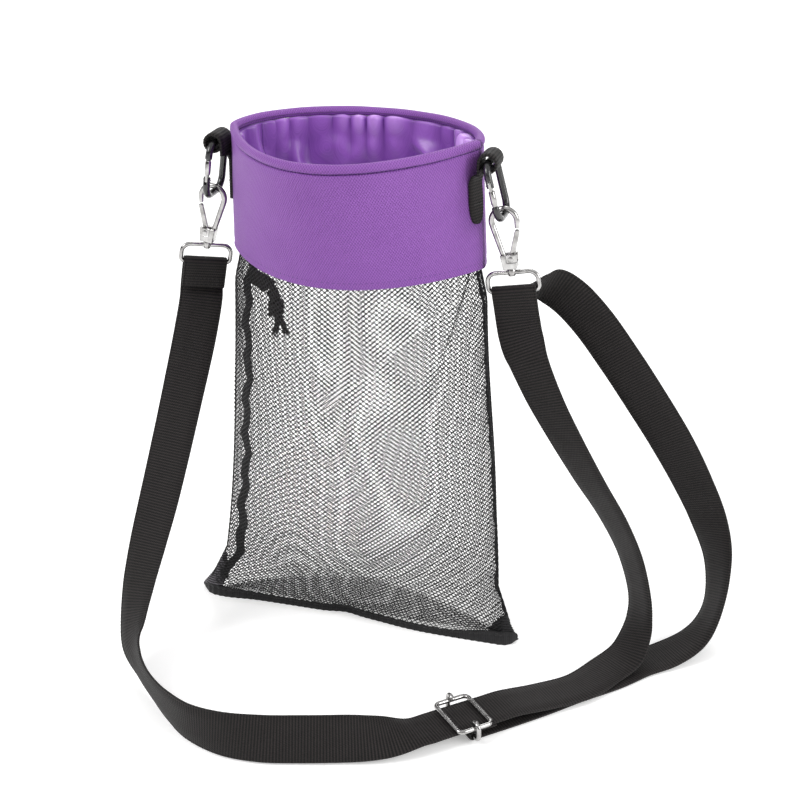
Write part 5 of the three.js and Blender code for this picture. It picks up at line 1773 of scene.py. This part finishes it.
def knot_wraps():
    """Turns of the cord round the knot, over a rounded core."""
    turn = np.linspace(0, 2 * math.pi * KNOT_WRAPS, KNOT_SECTIONS)
    drop = np.linspace(3.2 * MM, -3.0 * MM, KNOT_SECTIONS)
    wide = KNOT_HALF_WIDTH * np.sqrt(np.clip(1 - (drop / (6 * MM)) ** 2, 0.2, 1))
    wrap = points_of(wide * np.cos(turn), 0.75 * wide * np.sin(turn), drop)
    ribs = KNOT_WIRE * (1 + 0.07 * np.cos(np.arange(KNOT_SECTIONS) * 1.3))
    cross = np.linspace(-1, 1, 30)
    over = points_of(3 * MM * cross, -3.4 * MM * np.sqrt(1 - 0.7 * cross ** 2), 4 * MM * cross)
    core = points_of(0, 0, np.linspace(-4, 4, 12) * MM)
    wires = ((wrap, ribs, 12), (over, KNOT_OVER_WIRE, 12), (core, KNOT_CORE, 16))
    return [sweep(KNOT_AT + path, radius, sides, round_ends=True) for path, radius, sides in wires]


def frayed(end, direction):
    """Loose fibres at a cut end of the cord."""
    bodies = []
    for _ in range(FRAY_COUNT):
        turn, out = random.uniform(0, 2 * math.pi), random.uniform(0.2, 1)
        side = np.array([math.cos(turn), 0.7 * math.sin(turn), 0]) * out
        start = end + side * FRAY_SPREAD - direction * FRAY_ROOT
        reach = random.uniform(*FRAY_REACH)
        tip = start + direction * reach + side * random.uniform(0.6, 1.9) * MM
        bend = mix(start, tip, 0.5) + side * FRAY_BEND
        bodies.append(sweep([start, bend, tip], FRAY_RADII, sides=5))
    return bodies


def linked(name, data):
    obj = bpy.data.objects.new(name, data)
    bpy.context.scene.collection.objects.link(obj)
    return obj


def aimed(name, data, at, aim):
    """A lamp or camera at a place, turned to what it looks at."""
    obj = linked(name, data)
    obj.location = at
    obj.rotation_euler = (Vector(aim) - Vector(at)).to_track_quat("-Z", "Y").to_euler()
    return obj


def make_floor():
    mesh = bpy.data.meshes.new("floor")
    r = FLOOR_REACH
    corners = [(x, y, -FLOOR_GAP) for x, y in ((-r, -r), (r, -r), (r, r), (-r, r))]
    mesh.from_pydata(corners, [], [(0, 1, 2, 3)])
    mesh.materials.append(pale_floor())
    floor = linked("floor", mesh)
    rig.stage(floor)


def make_world():
    """A light tent, brighter overhead, in front of a white backdrop with a dim gap above it."""
    look = Nodes(bpy.data.worlds.new("light_tent"), "Background")
    height = look.height_of(look.coords("Generated"))
    light, backdrop = ([(at, grey(value)) for at, value in stops] for stops in (TENT_STOPS, BACKDROP_STOPS))
    colours = {MIX_FIRST: look.ramp(height, light), MIX_SECOND: look.ramp(height, backdrop)}
    seen = look.add("ShaderNodeMix", {"Factor": look.seen_directly(), **colours}, data_type="RGBA")
    look.feed(look.shader, "Color", seen.outputs[MIX_RESULT])
    bpy.context.scene.world = look.owner


def make_lights():
    for name, lamp in LAMPS.items():
        data = bpy.data.lights.new(name, "AREA")
        data.shape = "DISK"
        data.size = lamp["size"]
        data.energy = lamp["power"]
        aimed(name, data, lamp["at"], lamp["aim"])


def make_camera():
    data = bpy.data.cameras.new("camera")
    data.lens = CAMERA_LENS
    data.sensor_width = CAMERA_SENSOR
    bpy.context.scene.camera = aimed("camera", data, CAMERA_AT, CAMERA_AIM)


make_camera()
make_strap()
make_strap_stitches()
make_drawcord()
make_collar()
make_piping()
make_collar_stitches()
make_sleeve()
make_sleeve_seam()
make_eyelet()
make_net()
for word, side in SIDES:
    make_seam_tape(word, side)
    make_tab(word, side)
    make_tab_stitches(word, side)
    make_carabiner(word)
    make_hook(word)
    make_ring(word)
make_binding()
make_binding_stitches()
make_ears()
make_slider()
make_floor()
make_world()
make_lights()
bpy.context.scene.view_settings.view_transform = "Standard"

with open("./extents.json", "w") as size_file:
    boxes = {"cad": CAD_BOX, "visual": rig.bounds()}
    json.dump({key: [[float(c) for c in corner] for corner in box] for key, box in boxes.items()}, size_file)
